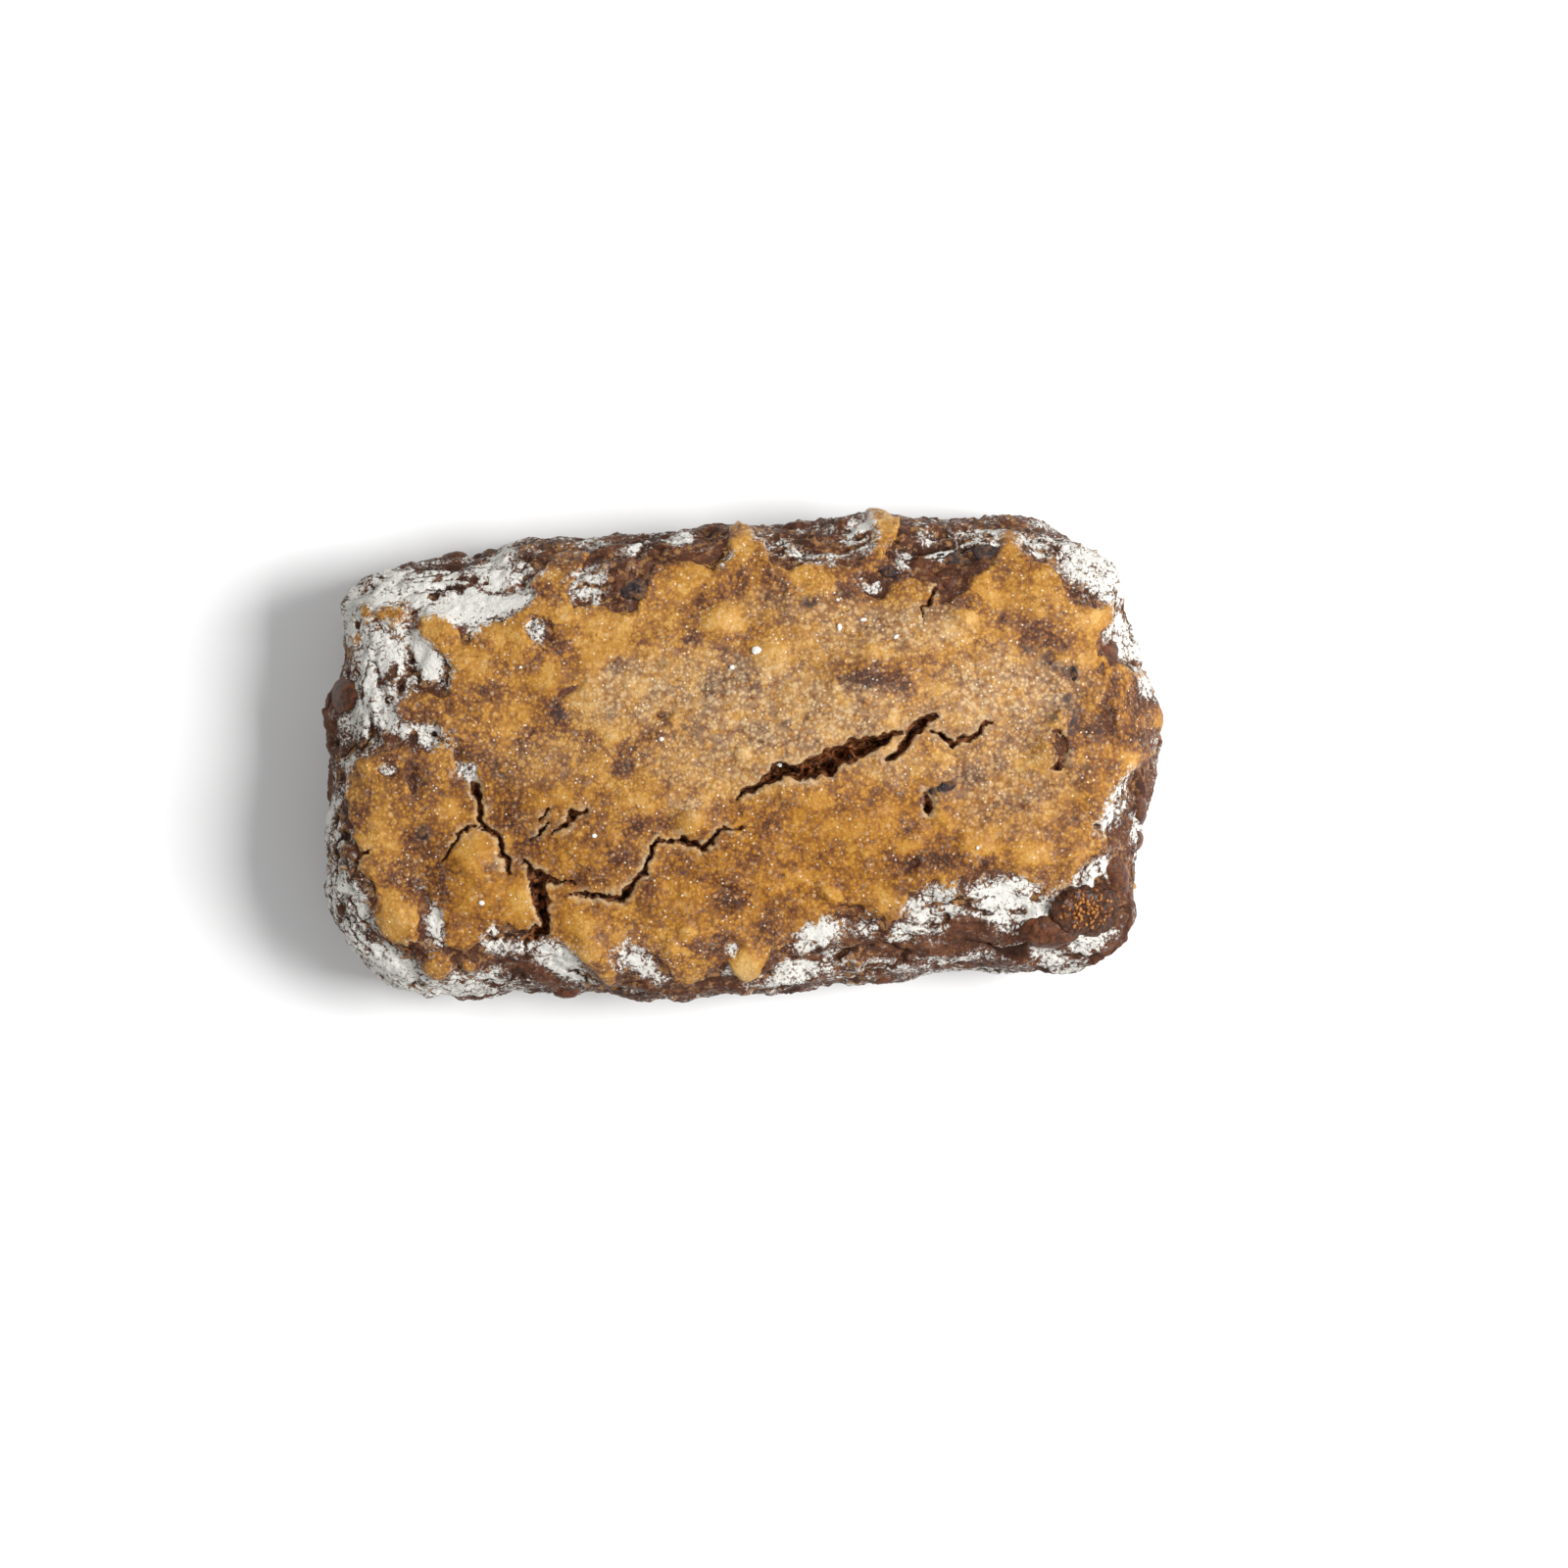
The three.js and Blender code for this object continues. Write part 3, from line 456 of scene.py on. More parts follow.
# %% Nuts and fruit that push the whole surface out: x, y and z as shares, radius and rise in mm
LUMPS = [
    (1, 0.1, 0.5, 7, 2.2), (1, -0.02, 0.45, 7, 2.2), (1, -0.16, 0.35, 6, 2), (0.95, 0.4, 0.5, 7, 2.6),
    (0.86, -0.8, 0.75, 10, 3), (-0.97, 0.32, 0.55, 6, 1.5), (-0.99, -0.2, 0.4, 9, 1.5),
    (-0.9, 0.78, 0.6, 8, 2), (-0.46, -0.97, 0.4, 8, 2.4), (-0.28, -1, 0.45, 7, 2.2),
    (0.05, -0.98, 0.4, 9, 1.6), (0.34, -0.95, 0.35, 8, 1.8), (0.58, -0.97, 0.3, 8, 1.6),
    (-0.66, -0.93, 0.35, 6, 1.6), (-0.5, 0.97, 0.5, 9, 1.8), (-0.05, 0.98, 0.5, 9, 1.6),
    (0.3, 0.98, 0.55, 9, 2.2), (0.66, 0.92, 0.4, 8, 1.8), (0.86, 0.62, 0.75, 7, 2),
    (-0.66, 0.55, 1, 8, 1.8), (-0.26, 0.75, 0.95, 7, 1.6), (-0.05, 0.57, 1, 5, 1.2),
    (-0.66, -0.4, 1, 9, 1.7), (-0.36, -0.75, 1, 7, 1.5), (0.03, -0.85, 0.9, 4, 1), (-0.1, -0.22, 1, 4, 1.2),
    (0.45, -0.2, 1, 5, 1.2), (0.73, -0.02, 1, 5, 1.4), (0.8, -0.15, 1, 5, 1.5), (0.75, 0.45, 1, 7, 1.1),
    (0.5, -0.62, 1, 6, 1.2),
]


def wander(points):
    """Slow waves at three slants, which keep any stretch of the hand-shaped surface from being even."""
    x, y, z = points.T
    return 0.6 * (
        np.sin(x / 9 + 0.8 * np.sin(y / 11)) * np.cos(y / 8 - z / 10)
        + np.sin(x / 17 - y / 13 + z / 7)
        + 0.6 * np.sin(x / 5 + z / 6) * np.sin(y / 6 + z / 9)
    )


def swell(points):
    """The wandering, and each lump as rise * exp(-(d / radius)^2), d being the distance from its place on
    the block. It fades out towards the base, which stays flat."""
    skin = np.concatenate([upper[::4, ::4].reshape(-1, 3), lower[::4, ::4].reshape(-1, 3)])
    total = wander(points)
    for x, y, z, radius, rise in LUMPS:
        wanted = np.array([x * HALF_LENGTH, y * HALF_WIDTH, z * CROWN])
        place = skin[np.argmin(np.linalg.norm(skin - wanted, axis=1))]
        total += rise * np.exp(-(((points - place) ** 2).sum(axis=1)) / radius**2)
    for x, y, radius, rise in NUTS_UNDER:
        away = ((points[:, :2] - np.array([x * HALF_LENGTH, y * HALF_WIDTH])) ** 2).sum(axis=1)
        total += rise * np.exp(-((away / radius**2) ** 1.5)) * (points[:, 2] > WAIST)
    return total * smoothstep(0, FOOT / 2, points[:, 2])


# %% [markdown]
# ## Fields: edges, cracks and patches worked out for every point at once
# Each list above becomes a field, a number for every point of the grid. The distance to the crust's edge
# says where batter lies and how its rim rounds off. The distance to a crack's wall says where the surface
# drops. A little noise is added to the places first, so that nothing follows a ruler.

# %% Distances and patches
SHARES = np.array([HALF_LENGTH, HALF_WIDTH])


def stirred(xy, size, amount, seed):
    """Points moved by up to amount, by two noises of that size."""
    flat = np.column_stack([xy, np.zeros(len(xy))])
    shift = np.column_stack([smooth_noise(flat, size, seed), smooth_noise(flat, size, seed + 1)])
    return xy + amount * shift


def to_segment(xy, a, b):
    """The distance of each point to the segment from a to b, and how far along it the nearest place is."""
    along = b - a
    t = np.clip(((xy - a) @ along) / (along @ along), 0, 1)
    return np.hypot(*(xy - a - t[:, None] * along).T), t


def inside_line(xy, corners):
    """The distance to a closed line, above 0 inside it. A point is inside if a ray from it crosses the line
    an odd number of times."""
    nearest = np.full(len(xy), np.inf)
    inside = np.zeros(len(xy), bool)
    x, y = xy.T
    for a, b in zip(corners, np.roll(corners, -1, axis=0)):
        nearest = np.minimum(nearest, to_segment(xy, a, b)[0])
        crosses = (a[1] > y) != (b[1] > y)
        rise = b[1] - a[1] if b[1] != a[1] else 1e-9
        inside ^= crosses & (x < a[0] + (y - a[1]) * (b[0] - a[0]) / rise)
    return np.where(inside, nearest, -nearest)


def ellipse_reach(xy, x, y, across, up, slant):
    """0 at an ellipse's centre and 1 on its edge."""
    dx, dy = (xy - np.array([x, y]) * SHARES).T
    turn = math.radians(slant)
    u = (dx * math.cos(turn) + dy * math.sin(turn)) / across
    v = (dy * math.cos(turn) - dx * math.sin(turn)) / up
    return np.hypot(u, v)


def patches(xy, rows):
    """The sum of soft ellipses: each is its strength inside, and fades out past its edge."""
    total = np.zeros(len(xy))
    for x, y, across, up, slant, strength in rows:
        total += strength * (1 - smoothstep(0.5, 1.4, ellipse_reach(xy, x, y, across, up, slant)))
    return total


def thickest(xy, rows):
    """As patches, but where ellipses overlap only the strongest counts."""
    total = np.zeros(len(xy))
    for x, y, across, up, slant, strength in rows:
        near = strength * (1 - smoothstep(0.55, 1.6, ellipse_reach(xy, x, y, across, up, slant)))
        total = np.maximum(total, near)
    return total


# %% How far inside the crust's edge a point lies
# Batter ran down the sides to about this height over the base, in mm.
BATTER_RUNS_TO = 27.5


def crust_reach(points):
    """How far a point lies inside the crust's edge, in mm. Drops add to it, gaps cut it, and a ragged line
    round the side ends it where the batter stopped running down."""
    xy = stirred(stirred(stirred(points[:, :2], 5, 0.9, 51), 2.2, 0.75, 53), 1.0, 0.4, 55)
    reach = inside_line(xy, CRUST_EDGE * SHARES)
    for x, y, radius in DROPS:
        reach = np.maximum(reach, radius * (1 - ellipse_reach(xy, x, y, radius, radius, 0)))
    for x, y, across, up, slant in GAPS:
        reach = np.minimum(reach, min(across, up) * (ellipse_reach(xy, x, y, across, up, slant) - 1))
    run = BATTER_RUNS_TO + 3.2 * smooth_noise(points, 9, 55) + 1.2 * smooth_noise(points, 3.5, 57)
    return np.minimum(reach, points[:, 2] - run)


# %% How far a point lies from a crack
def crack_gap(xy):
    """How far a point is from the nearest crack's wall, below 0 inside the crack, and the crack's half
    width there. The walls are ragged because the points are stirred."""
    xy = stirred(stirred(stirred(xy, 2.6, 0.8, 61), 1.1, 0.45, 63), 0.55, 0.22, 67)
    gap = np.full(len(xy), np.inf)
    half = np.zeros(len(xy))
    for line in CRACKS:
        line = np.array(line) * (*SHARES, 1)
        for a, b in zip(line[:-1], line[1:]):
            away, t = to_segment(xy, a[:2], b[:2])
            wide = a[2] + t * (b[2] - a[2])
            closer = away - wide < gap
            gap = np.where(closer, away - wide, gap)
            half = np.where(closer, wide, half)
    return gap, half


# %% [markdown]
# ## The dough
# Bare dough is craggy. Hands drew it out along the sides, so its folds run round the loaf, and deep creases
# show between them. Noise over (x/2, y/2, distance down the section) makes folds that run that way. A
# narrow crease lies wherever another noise passes through zero.

# %% The relief of bare dough
SIDE_RUN = 38.0
FOOT_RUN = 24.0


def down_the_side(reach, is_upper):
    """Roughly how far a ring lies down the section from the edge of the flat top, in mm."""
    run = (reach - FLAT_SHARE) / (1 - FLAT_SHARE)
    return SIDE_RUN * run if is_upper else SIDE_RUN + FOOT_RUN * (1 - run)


def dough_relief(points, down):
    """The height of torn dough over the smooth block, and where its creases are."""
    drawn = np.column_stack([points[:, 0] / 2, points[:, 1] / 2, down])
    drawn = drawn + 1.6 * np.column_stack([smooth_noise(points, 11, seed) for seed in (1, 2, 3)])
    folds = rough_noise(drawn, 7.5, 3, 11)
    crumbs = rough_noise(points, 2.8, 3, 21)
    ragged = drawn + 0.9 * np.column_stack([smooth_noise(points, 2.2, seed) for seed in (4, 5, 6)])
    crease = np.exp(-((smooth_noise(ragged, 7.5, 31) / 0.07) ** 2))
    crease *= smoothstep(-0.1, 0.5, smooth_noise(points, 10, 41))
    layers = np.exp(-((smooth_noise(ragged * (0.8, 0.8, 2.2), 6, 33) / 0.17) ** 2))
    layers *= smoothstep(-0.2, 0.4, smooth_noise(points, 8, 43))
    pits = smoothstep(0.62, 0.9, smooth_noise(points, 3.1, 45))
    relief = 1.35 * folds + 0.45 * crumbs + 0.18 * rough_noise(points, 1.3, 2, 23)
    relief -= 1.1 * crease + 0.6 * layers + 0.9 * pits
    return relief, np.maximum(np.maximum(crease, 0.75 * layers), 0.8 * pits)


# %% Flour on the sides, and how deep the cracks are
def side_flour(points):
    """Flour on the sides and the base, in drifts: little under the shoulder, most on the base."""
    drift = 0.55 * smooth_noise(points, 16, 71) + 0.35 * smooth_noise(points, 6, 73)
    return 0.3 + drift + 0.35 * (1 - smoothstep(0, 16, points[:, 2]))


CRACK_SHALLOWEST = 1.3
CRACK_DEEPER_WITH_WIDTH = 2.3
CRACK_DEEPEST = 6.5
WALL = 0.12


def crack_depth(gap, half, points):
    """How deep the surface has dropped: up to 8 mm in the widest crack, with steep walls."""
    deepest = np.clip(CRACK_SHALLOWEST + CRACK_DEEPER_WITH_WIDTH * half, 0, CRACK_DEEPEST)
    deepest = deepest * (0.85 + 0.4 * smooth_noise(points, 1.6, 65))
    return deepest * (1 - smoothstep(-0.75 * half - WALL, WALL, gap))


# %% The upper half: every field, once
# Bare dough and the dough that the batter covers both lie a little under the smooth surface, in mm.
BARE_SUNK = 0.55
COVERED_SUNK = 0.3
points = upper.reshape(-1, 3)
normals = upper_normal.reshape(-1, 3)
reach_up = np.maximum(abs(s_grid), abs(t_grid)).ravel()
swollen = points + normals * swell(points)[:, None]
gap, half = crack_gap(points[:, :2])
cover = crust_reach(points)
bare = 1 - smoothstep(-2.2, 0.6, cover)
dropped = crack_depth(gap, half, points) * smoothstep(-0.5, 1.5, cover + 2 * (half > 0.6))
relief, creased = dough_relief(points, down_the_side(reach_up, True))
down_z = np.array([0, 0, 1.0])

stirred_xy = stirred(stirred(points[:, :2], 7, 1.6, 81), 2.2, 0.5, 83)
lie = thickest(stirred_xy, FLOUR)
# The sides have flour of their own below the shoulder. Thick flour fills the folds that it lies on.
side = 1 - smoothstep(26, 40, points[:, 2])
filled = 0.7 * smoothstep(0.95, 1.4, lie)
relief *= 1 - 0.6 * filled
dough_up = swollen + normals * (bare * (relief - BARE_SUNK) - COVERED_SUNK * (1 - bare))[:, None]
dough_up -= dropped[:, None] * down_z
flour_up = np.maximum(0.9 * lie, side * side_flour(points)) * (1 - 0.8 * creased * (1 - filled))
print(f"{(cover > 0).mean():.0%} of the upper half is under the crust; {(gap < 0).sum()} points in cracks")

# %% The lower half
BASE_PIT = 0.35
points_low = lower.reshape(-1, 3)
normals_low = lower_normal.reshape(-1, 3)
relief_low, creased_low = dough_relief(points_low, down_the_side(reach_up, False))
off_base = smoothstep(0, 7, points_low[:, 2])
push_low = swell(points_low) + (relief_low - BARE_SUNK) * off_base
dough_low = points_low + normals_low * push_low[:, None]
base_pits = BASE_PIT * smoothstep(0.2, 0.8, smooth_noise(points_low, 5, 91)) * (1 - off_base)
dough_low[:, 2] = np.maximum(dough_low[:, 2], 0) + base_pits
flour_low = np.clip(side_flour(points_low) + 0.15 * (1 - off_base), 0, 1.1) * (1 - 0.6 * creased_low)
print(f"the base is flat to {base_pits.max():.2f} mm")

# %% [markdown]
# ## From grids to pieces
# A grid becomes faces by joining each cell's four corners, anticlockwise as seen from outside. A million
# faces would be wasteful where the surface is plain, so a Decimate modifier merges them there and keeps
# them along cracks, folds and rims. The fields travel with the points as attributes, for the materials.

# %% Making and thinning a mesh
def cells(index):
    """The four corners of each cell of a grid of point numbers, anticlockwise from above."""
    corners = [index[:-1, :-1], index[:-1, 1:], index[1:, 1:], index[1:, :-1]]
    return np.stack(corners, axis=-1).reshape(-1, 4)


def only_used(points, faces):
    """The points that the faces use, the faces renumbered to match them, and which of the points they are."""
    used = np.unique(faces)
    renumber = np.zeros(len(points), np.int64)
    renumber[used] = np.arange(len(used))
    return points[used], renumber[faces], used


def make_piece(name, points, faces, fields=None, thin_to=None):
    """A smooth-shaded piece from points in mm and rows of corners, thinned to a number of triangles."""
    mesh = bpy.data.meshes.new(name)
    mesh.vertices.add(len(points))
    mesh.vertices.foreach_set("co", (points * MM).astype(np.float32).ravel())
    corners = faces.shape[1]
    mesh.loops.add(faces.size)
    mesh.loops.foreach_set("vertex_index", faces.astype(np.int32).ravel())
    mesh.polygons.add(len(faces))
    mesh.polygons.foreach_set("loop_start", np.arange(0, faces.size, corners, dtype=np.int32))
    mesh.update(calc_edges=True)
    for field, values in (fields or {}).items():
        mesh.attributes.new(field, "FLOAT", "POINT").data.foreach_set("value", values.astype(np.float32))
    piece = bpy.data.objects.new(name, mesh)
    bpy.context.scene.collection.objects.link(piece)
    triangles = len(faces) * (corners - 2)
    if thin_to and triangles > thin_to:
        thinning = piece.modifiers.new("thinning", "DECIMATE")
        thinning.ratio = thin_to / triangles
        evaluated = piece.evaluated_get(bpy.context.evaluated_depsgraph_get())
        piece.data = bpy.data.meshes.new_from_object(evaluated)
        piece.modifiers.clear()
    piece.data.polygons.foreach_set("use_smooth", np.ones(len(piece.data.polygons), bool))
    piece.data.update()
    print(f"{name}: {len(piece.data.vertices)} points, {len(piece.data.polygons)} faces")
    return piece


THIN_TO = 190_000

# %% The dough, closed from crown to base
rows, columns = upper.shape[:2]
upper_index = np.arange(rows * columns).reshape(rows, columns)
lower_index = upper_index + rows * columns
rim = np.ones((rows, columns), bool)
rim[1:-1, 1:-1] = False
lower_index[rim] = upper_index[rim]
dough_faces = np.concatenate([cells(upper_index), cells(lower_index)[:, ::-1]])
dough_points, dough_faces, used = only_used(np.concatenate([dough_up, dough_low]), dough_faces)

dough_fields = {
    "flour": np.concatenate([flour_up, flour_low])[used],
    "crease": np.concatenate([creased, creased_low])[used],
    "torn": np.concatenate([1 - smoothstep(-0.3, 0.15, gap), 0 * creased_low])[used],
    "smear": np.concatenate([np.exp(-((cover + 2.5) ** 2) / 8) * (cover < 0.5), 0 * creased_low])[used],
}
dough = make_piece("dough", dough_points, dough_faces, dough_fields, THIN_TO)

# %% [markdown]
# ## The crust
# The batter is a sheet about a millimetre thick that follows the dough. It could be cut out along its edge,
# but a poured edge is round: it thins smoothly and meets the dough in a lobed line. So the sheet's height
# over the dough rises from below zero outside the edge to full thickness inside it. Where the height is
# below zero, dough hides it. At a crack the sheet breaks off sharply and its broken rim curls up a little.

# %% The crust's thickness and relief
# Its thickness, how far its rim dips under the dough, and how far down its underside lies, all in mm.
CRUST = 0.75
HIDDEN = 0.7
UNDERSIDE = HIDDEN + 0.6


def closed_sheet(top, bottom, keep):
    """A closed body between two grids: the kept cells of both, and walls down every edge where a kept cell
    meets one that isn't kept."""
    rows, columns = keep.shape[0] + 1, keep.shape[1] + 1
    above = np.arange(rows * columns).reshape(rows, columns)
    below = above + rows * columns
    kept = keep.ravel()
    faces = [cells(above)[kept], cells(below)[kept][:, ::-1]]
    padded = np.pad(keep, 1)
    sides = [
        ((1, 0), (slice(None, -1), slice(1, None)), (slice(1, None), slice(1, None))),
        ((-1, 0), (slice(1, None), slice(None, -1)), (slice(None, -1), slice(None, -1))),
        ((0, -1), (slice(None, -1), slice(None, -1)), (slice(None, -1), slice(1, None))),
        ((0, 1), (slice(1, None), slice(1, None)), (slice(1, None), slice(None, -1))),
    ]
    for (right, up), start, end in sides:
        beside = padded[1 + up : rows + up, 1 + right : columns + right]
        open_edge = keep & ~beside
        a, b = above[start][open_edge], above[end][open_edge]
        faces.append(np.stack([b, a, a + rows * columns, b + rows * columns], axis=-1))
    return only_used(np.concatenate([top, bottom]), np.concatenate(faces))


# %% The crust's two skins
# How thick the batter looks: the pools and veils, a mottling, and an edge that thins out in places.
pools = np.clip(patches(stirred_xy, BATTER), -1.2, 1.2)
blotch = 0.5 * smooth_noise(points, 6, 101) + 0.3 * smooth_noise(points, 2.8, 103)
thin_edge = np.exp(-np.maximum(cover, 0) / 1.6) * smoothstep(-0.1, 0.5, smooth_noise(points, 9, 105))
thick = pools + 0.4 * blotch - 1.3 * thin_edge
# A low lip runs along the poured edge, the rim of a crack curls up, and pools and bubbles are bumps.
lip = 0.1 * np.exp(-(((cover - 1.2) / 0.9) ** 2))
curl = 0.22 * np.exp(-((gap / 0.7) ** 2)) * (half > 0.25)
bumps = 0.3 * np.maximum(pools, 0) + 0.22 * smooth_noise(points, 4.5, 111)
bumps += 0.12 * smooth_noise(points, 1.9, 113) + 0.3 * smoothstep(0.45, 0.75, smooth_noise(points, 3.2, 115))
outer = -HIDDEN + (CRUST + HIDDEN) * smoothstep(-0.7, 1.4, cover) + lip
broken = -HIDDEN + (CRUST + HIDDEN + 0.3) * smoothstep(-0.1, 0.3, gap) + curl
thickness = np.minimum(outer, broken) + bumps * smoothstep(0, 2, cover) * smoothstep(0, 0.5, gap)
crust_top = swollen + normals * (thickness - COVERED_SUNK)[:, None] - dropped[:, None] * down_z
crust_bottom = swollen - normals * UNDERSIDE - dropped[:, None] * down_z
kept_cells = (cover > -1.2).reshape(rows, columns)
kept_cells = kept_cells[:-1, :-1] & kept_cells[1:, :-1] & kept_cells[:-1, 1:] & kept_cells[1:, 1:]
crust_points, crust_faces, crust_used = closed_sheet(crust_top, crust_bottom, kept_cells)
print(f"the batter stands up to {thickness.max():.2f} mm over the dough")

# %% The crust as a piece
crust_fields = {
    "thick": thick,
    "haze": np.clip(patches(stirred_xy, HAZE), 0, 1),
    "amber": np.clip(patches(stirred_xy, AMBER), 0, 1),
    "prune": np.clip(patches(stirred(points[:, :2], 2, 0.4, 121), DARK_FRUIT), 0, 1),
    "rim": np.clip(np.exp(-((gap / 0.8) ** 2)) * (half > 0.3), 0, 1),
    "torn": 1 - smoothstep(-0.25, 0.12, gap),
    "flour": 0.85 * lie * (1 - smoothstep(0.5, 3, cover)) + 0.3 * side * side_flour(points),
}
for name, values in crust_fields.items():
    crust_fields[name] = np.concatenate([values, values])[crust_used]
crust = make_piece("batter_crust", crust_points, crust_faces, crust_fields, THIN_TO)

# %% [markdown]
# ## Fruit, nuts and crumbs
# Prunes, raisins and dates break through the surface, and one corner shows a cut fig. Each is a closed
# lump, seated where the surface is. A sphere is a grid of latitude and longitude. Its half sizes make it a
# raisin or a date, and ridges of noise wrinkle it.

# %% Closed lumps, seated on the surface
surface = np.where((cover > 0)[:, None], crust_top, dough_up)


def seat(x, y):
    """The point of the visible surface over x and y, given as shares, and the block's normal there."""
    wanted = np.array([x, y]) * SHARES
    nearest = np.argmin(((surface[:, :2] - wanted) ** 2).sum(axis=1))
    return surface[nearest], normals[nearest]


def ball(rows, columns):
    """Unit points at latitude a and longitude b: (cos a cos b, cos a sin b, sin a), with one point at each
    pole, and triangles over them that face outwards."""
    a = np.linspace(-math.pi / 2, math.pi / 2, rows + 1)[1:-1, None]
    b = np.linspace(0, 2 * math.pi, columns, endpoint=False)[None]
    rings = np.stack([np.cos(a) * np.cos(b), np.cos(a) * np.sin(b), np.sin(a) + 0 * b], axis=-1)
    rings = rings.reshape(-1, 3)
    points = np.concatenate([rings, [(0, 0, -1), (0, 0, 1)]])
    index = np.arange((rows - 1) * columns).reshape(rows - 1, columns)
    beside = np.roll(index, -1, axis=1)
    quads = np.stack([index[:-1], beside[:-1], beside[1:], index[1:]], axis=-1).reshape(-1, 4)
    south, north = len(rings), len(rings) + 1
    caps = [np.stack([beside[0], index[0], np.full(columns, south)], axis=-1),
            np.stack([index[-1], beside[-1], np.full(columns, north)], axis=-1)]
    return points, np.concatenate([quads[:, :3], quads[:, [0, 2, 3]], *caps])


def turned(points, normal, slant):
    """Points turned by slant about z, and then so that z lies along the normal."""
    turn = math.radians(slant)
    along = np.array([math.cos(turn), math.sin(turn), 0])
    along -= normal * (along @ normal)
    along /= np.linalg.norm(along)
    return points @ np.stack([along, np.cross(normal, along), normal])


def lumps(name, rows, wrinkle, grain_size, ball_rows=36):
    """One piece of several lumps: x, y, three half sizes, slant and how far each middle lies over the
    surface. A point lies at its half sizes times 1 + wrinkle * noise, with sharp folds."""
    unit, faces = ball(ball_rows, 2 * ball_rows)
    all_points, all_faces = [], []
    for number, (x, y, across, along, up, slant, lift) in enumerate(rows):
        place, normal = seat(x, y)
        size = np.array([across, along, up])
        shape = unit * size
        folds = 1 - 2 * abs(smooth_noise(shape + 31 * number, grain_size, 201)) ** 0.7
        swollen_here = smooth_noise(shape + 57 * number, 2 * grain_size, 203)
        shape = shape * (1 + wrinkle * (0.6 * folds + 0.6 * swollen_here))[:, None]
        all_points.append(place + turned(shape, normal, slant) + normal * lift)
        all_faces.append(faces + number * len(unit))
    return make_piece(name, np.concatenate(all_points), np.concatenate(all_faces))


# %% The raisins and the dates: x, y, three half sizes, slant and how far each middle lies over the surface
RAISINS = [
    (-0.235, 0.715, 5.2, 3.2, 2.6, -15, -1.6), (0.368, 0.725, 2.8, 1.6, 1.4, -20, -0.9),
    (0.52, 0.765, 5.5, 2, 1.8, -6, -0.9), (0.59, 0.785, 3.6, 2.2, 1.8, 10, -0.8),
    (0.777, 0.27, 1.0, 2.1, 1.2, 5, -0.95), (0.457, -0.168, 3.3, 1.5, 1.3, 12, -0.95),
    (-0.745, -0.23, 1.8, 2.1, 1.4, 0, -1.1), (-0.42, 0.93, 4, 1.6, 1.5, 12, -0.8),
]
DATES = [
    (0.44, 0.752, 3.8, 1.8, 1.6, 5, -0.8), (0.5, 0.665, 3.4, 3.6, 1.6, 10, -1.1),
    (0.868, 0.34, 4.0, 5.6, 2.4, -20, -1.5), (-0.93, 0.36, 4.6, 6.4, 2.6, 70, -1.2),
    (-0.655, 0.91, 3.4, 2, 1.8, 0, -0.7), (0.69, -0.79, 7.5, 4.4, 2.8, -8, -1.8),
    (0.865, -0.6, 3.6, 6.5, 2.4, 10, -1.5), (0.93, -0.3, 2.6, 5, 2, 10, -1.1),
    (-0.45, -0.95, 3.6, 2.2, 2, 0, -0.7), (0.16, 0.95, 4, 2, 1.8, 0, -0.8),
    (0.93, -0.45, 2.6, 4.2, 2.0, 0, -1.2), (0.78, 0.84, 5, 2, 1.8, -25, -1.0),
    (0.3, -0.95, 4, 2.4, 2, 10, -0.8),
]
raisins = lumps("raisins", RAISINS, 0.15, 1.3)
dates = lumps("dates", DATES, 0.1, 2.2)

# %% The cut fig: soft flesh, and its seeds
FIG = (0.785, -0.71, 8.8, 6.2, 2.8, -14, -1.9)
SEEDS = 70
SEED_SIZE = np.array([0.65, 0.44, 0.42])
SEED_SPREAD = 0.78
SEED_TURN = 2.4
SEEDS_OFF_CENTRE = (-0.14, 0.1)
SEED_PROUD = 0.05
fig = lumps("fig_flesh", [FIG], 0.13, 1.9, 60)
chance = np.random.default_rng(7)
fig_place, fig_normal = seat(*FIG[:2])
order = np.arange(SEEDS)
spread = SEED_SPREAD * np.sqrt(order / SEEDS) + chance.normal(0, 0.05, SEEDS)
around = SEED_TURN * order + chance.normal(0, 0.25, SEEDS)
flat = np.column_stack([spread * np.cos(around), spread * np.sin(around)]) + SEEDS_OFF_CENTRE
flat = np.column_stack([flat, np.sqrt(1 - (flat**2).sum(axis=1))])
seed_places = fig_place + turned(flat * FIG[2:5], fig_normal, FIG[5]) + fig_normal * (FIG[6] + SEED_PROUD)
unit, faces = ball(5, 8)
turns = chance.random(SEEDS) * 2 * math.pi
sizes = SEED_SIZE * (0.65 + 0.5 * chance.random((SEEDS, 1)))
shaped = unit[None] * sizes[:, None]
seed_points = np.stack([
    shaped[..., 0] * np.cos(turns)[:, None] - shaped[..., 1] * np.sin(turns)[:, None],
    shaped[..., 0] * np.sin(turns)[:, None] + shaped[..., 1] * np.cos(turns)[:, None],
    shaped[..., 2]], axis=-1) + seed_places[:, None]
seed_faces = faces[None] + (np.arange(SEEDS) * len(unit))[:, None, None]
seeds = make_piece("fig_seeds", seed_points.reshape(-1, 3), seed_faces.reshape(-1, 3))

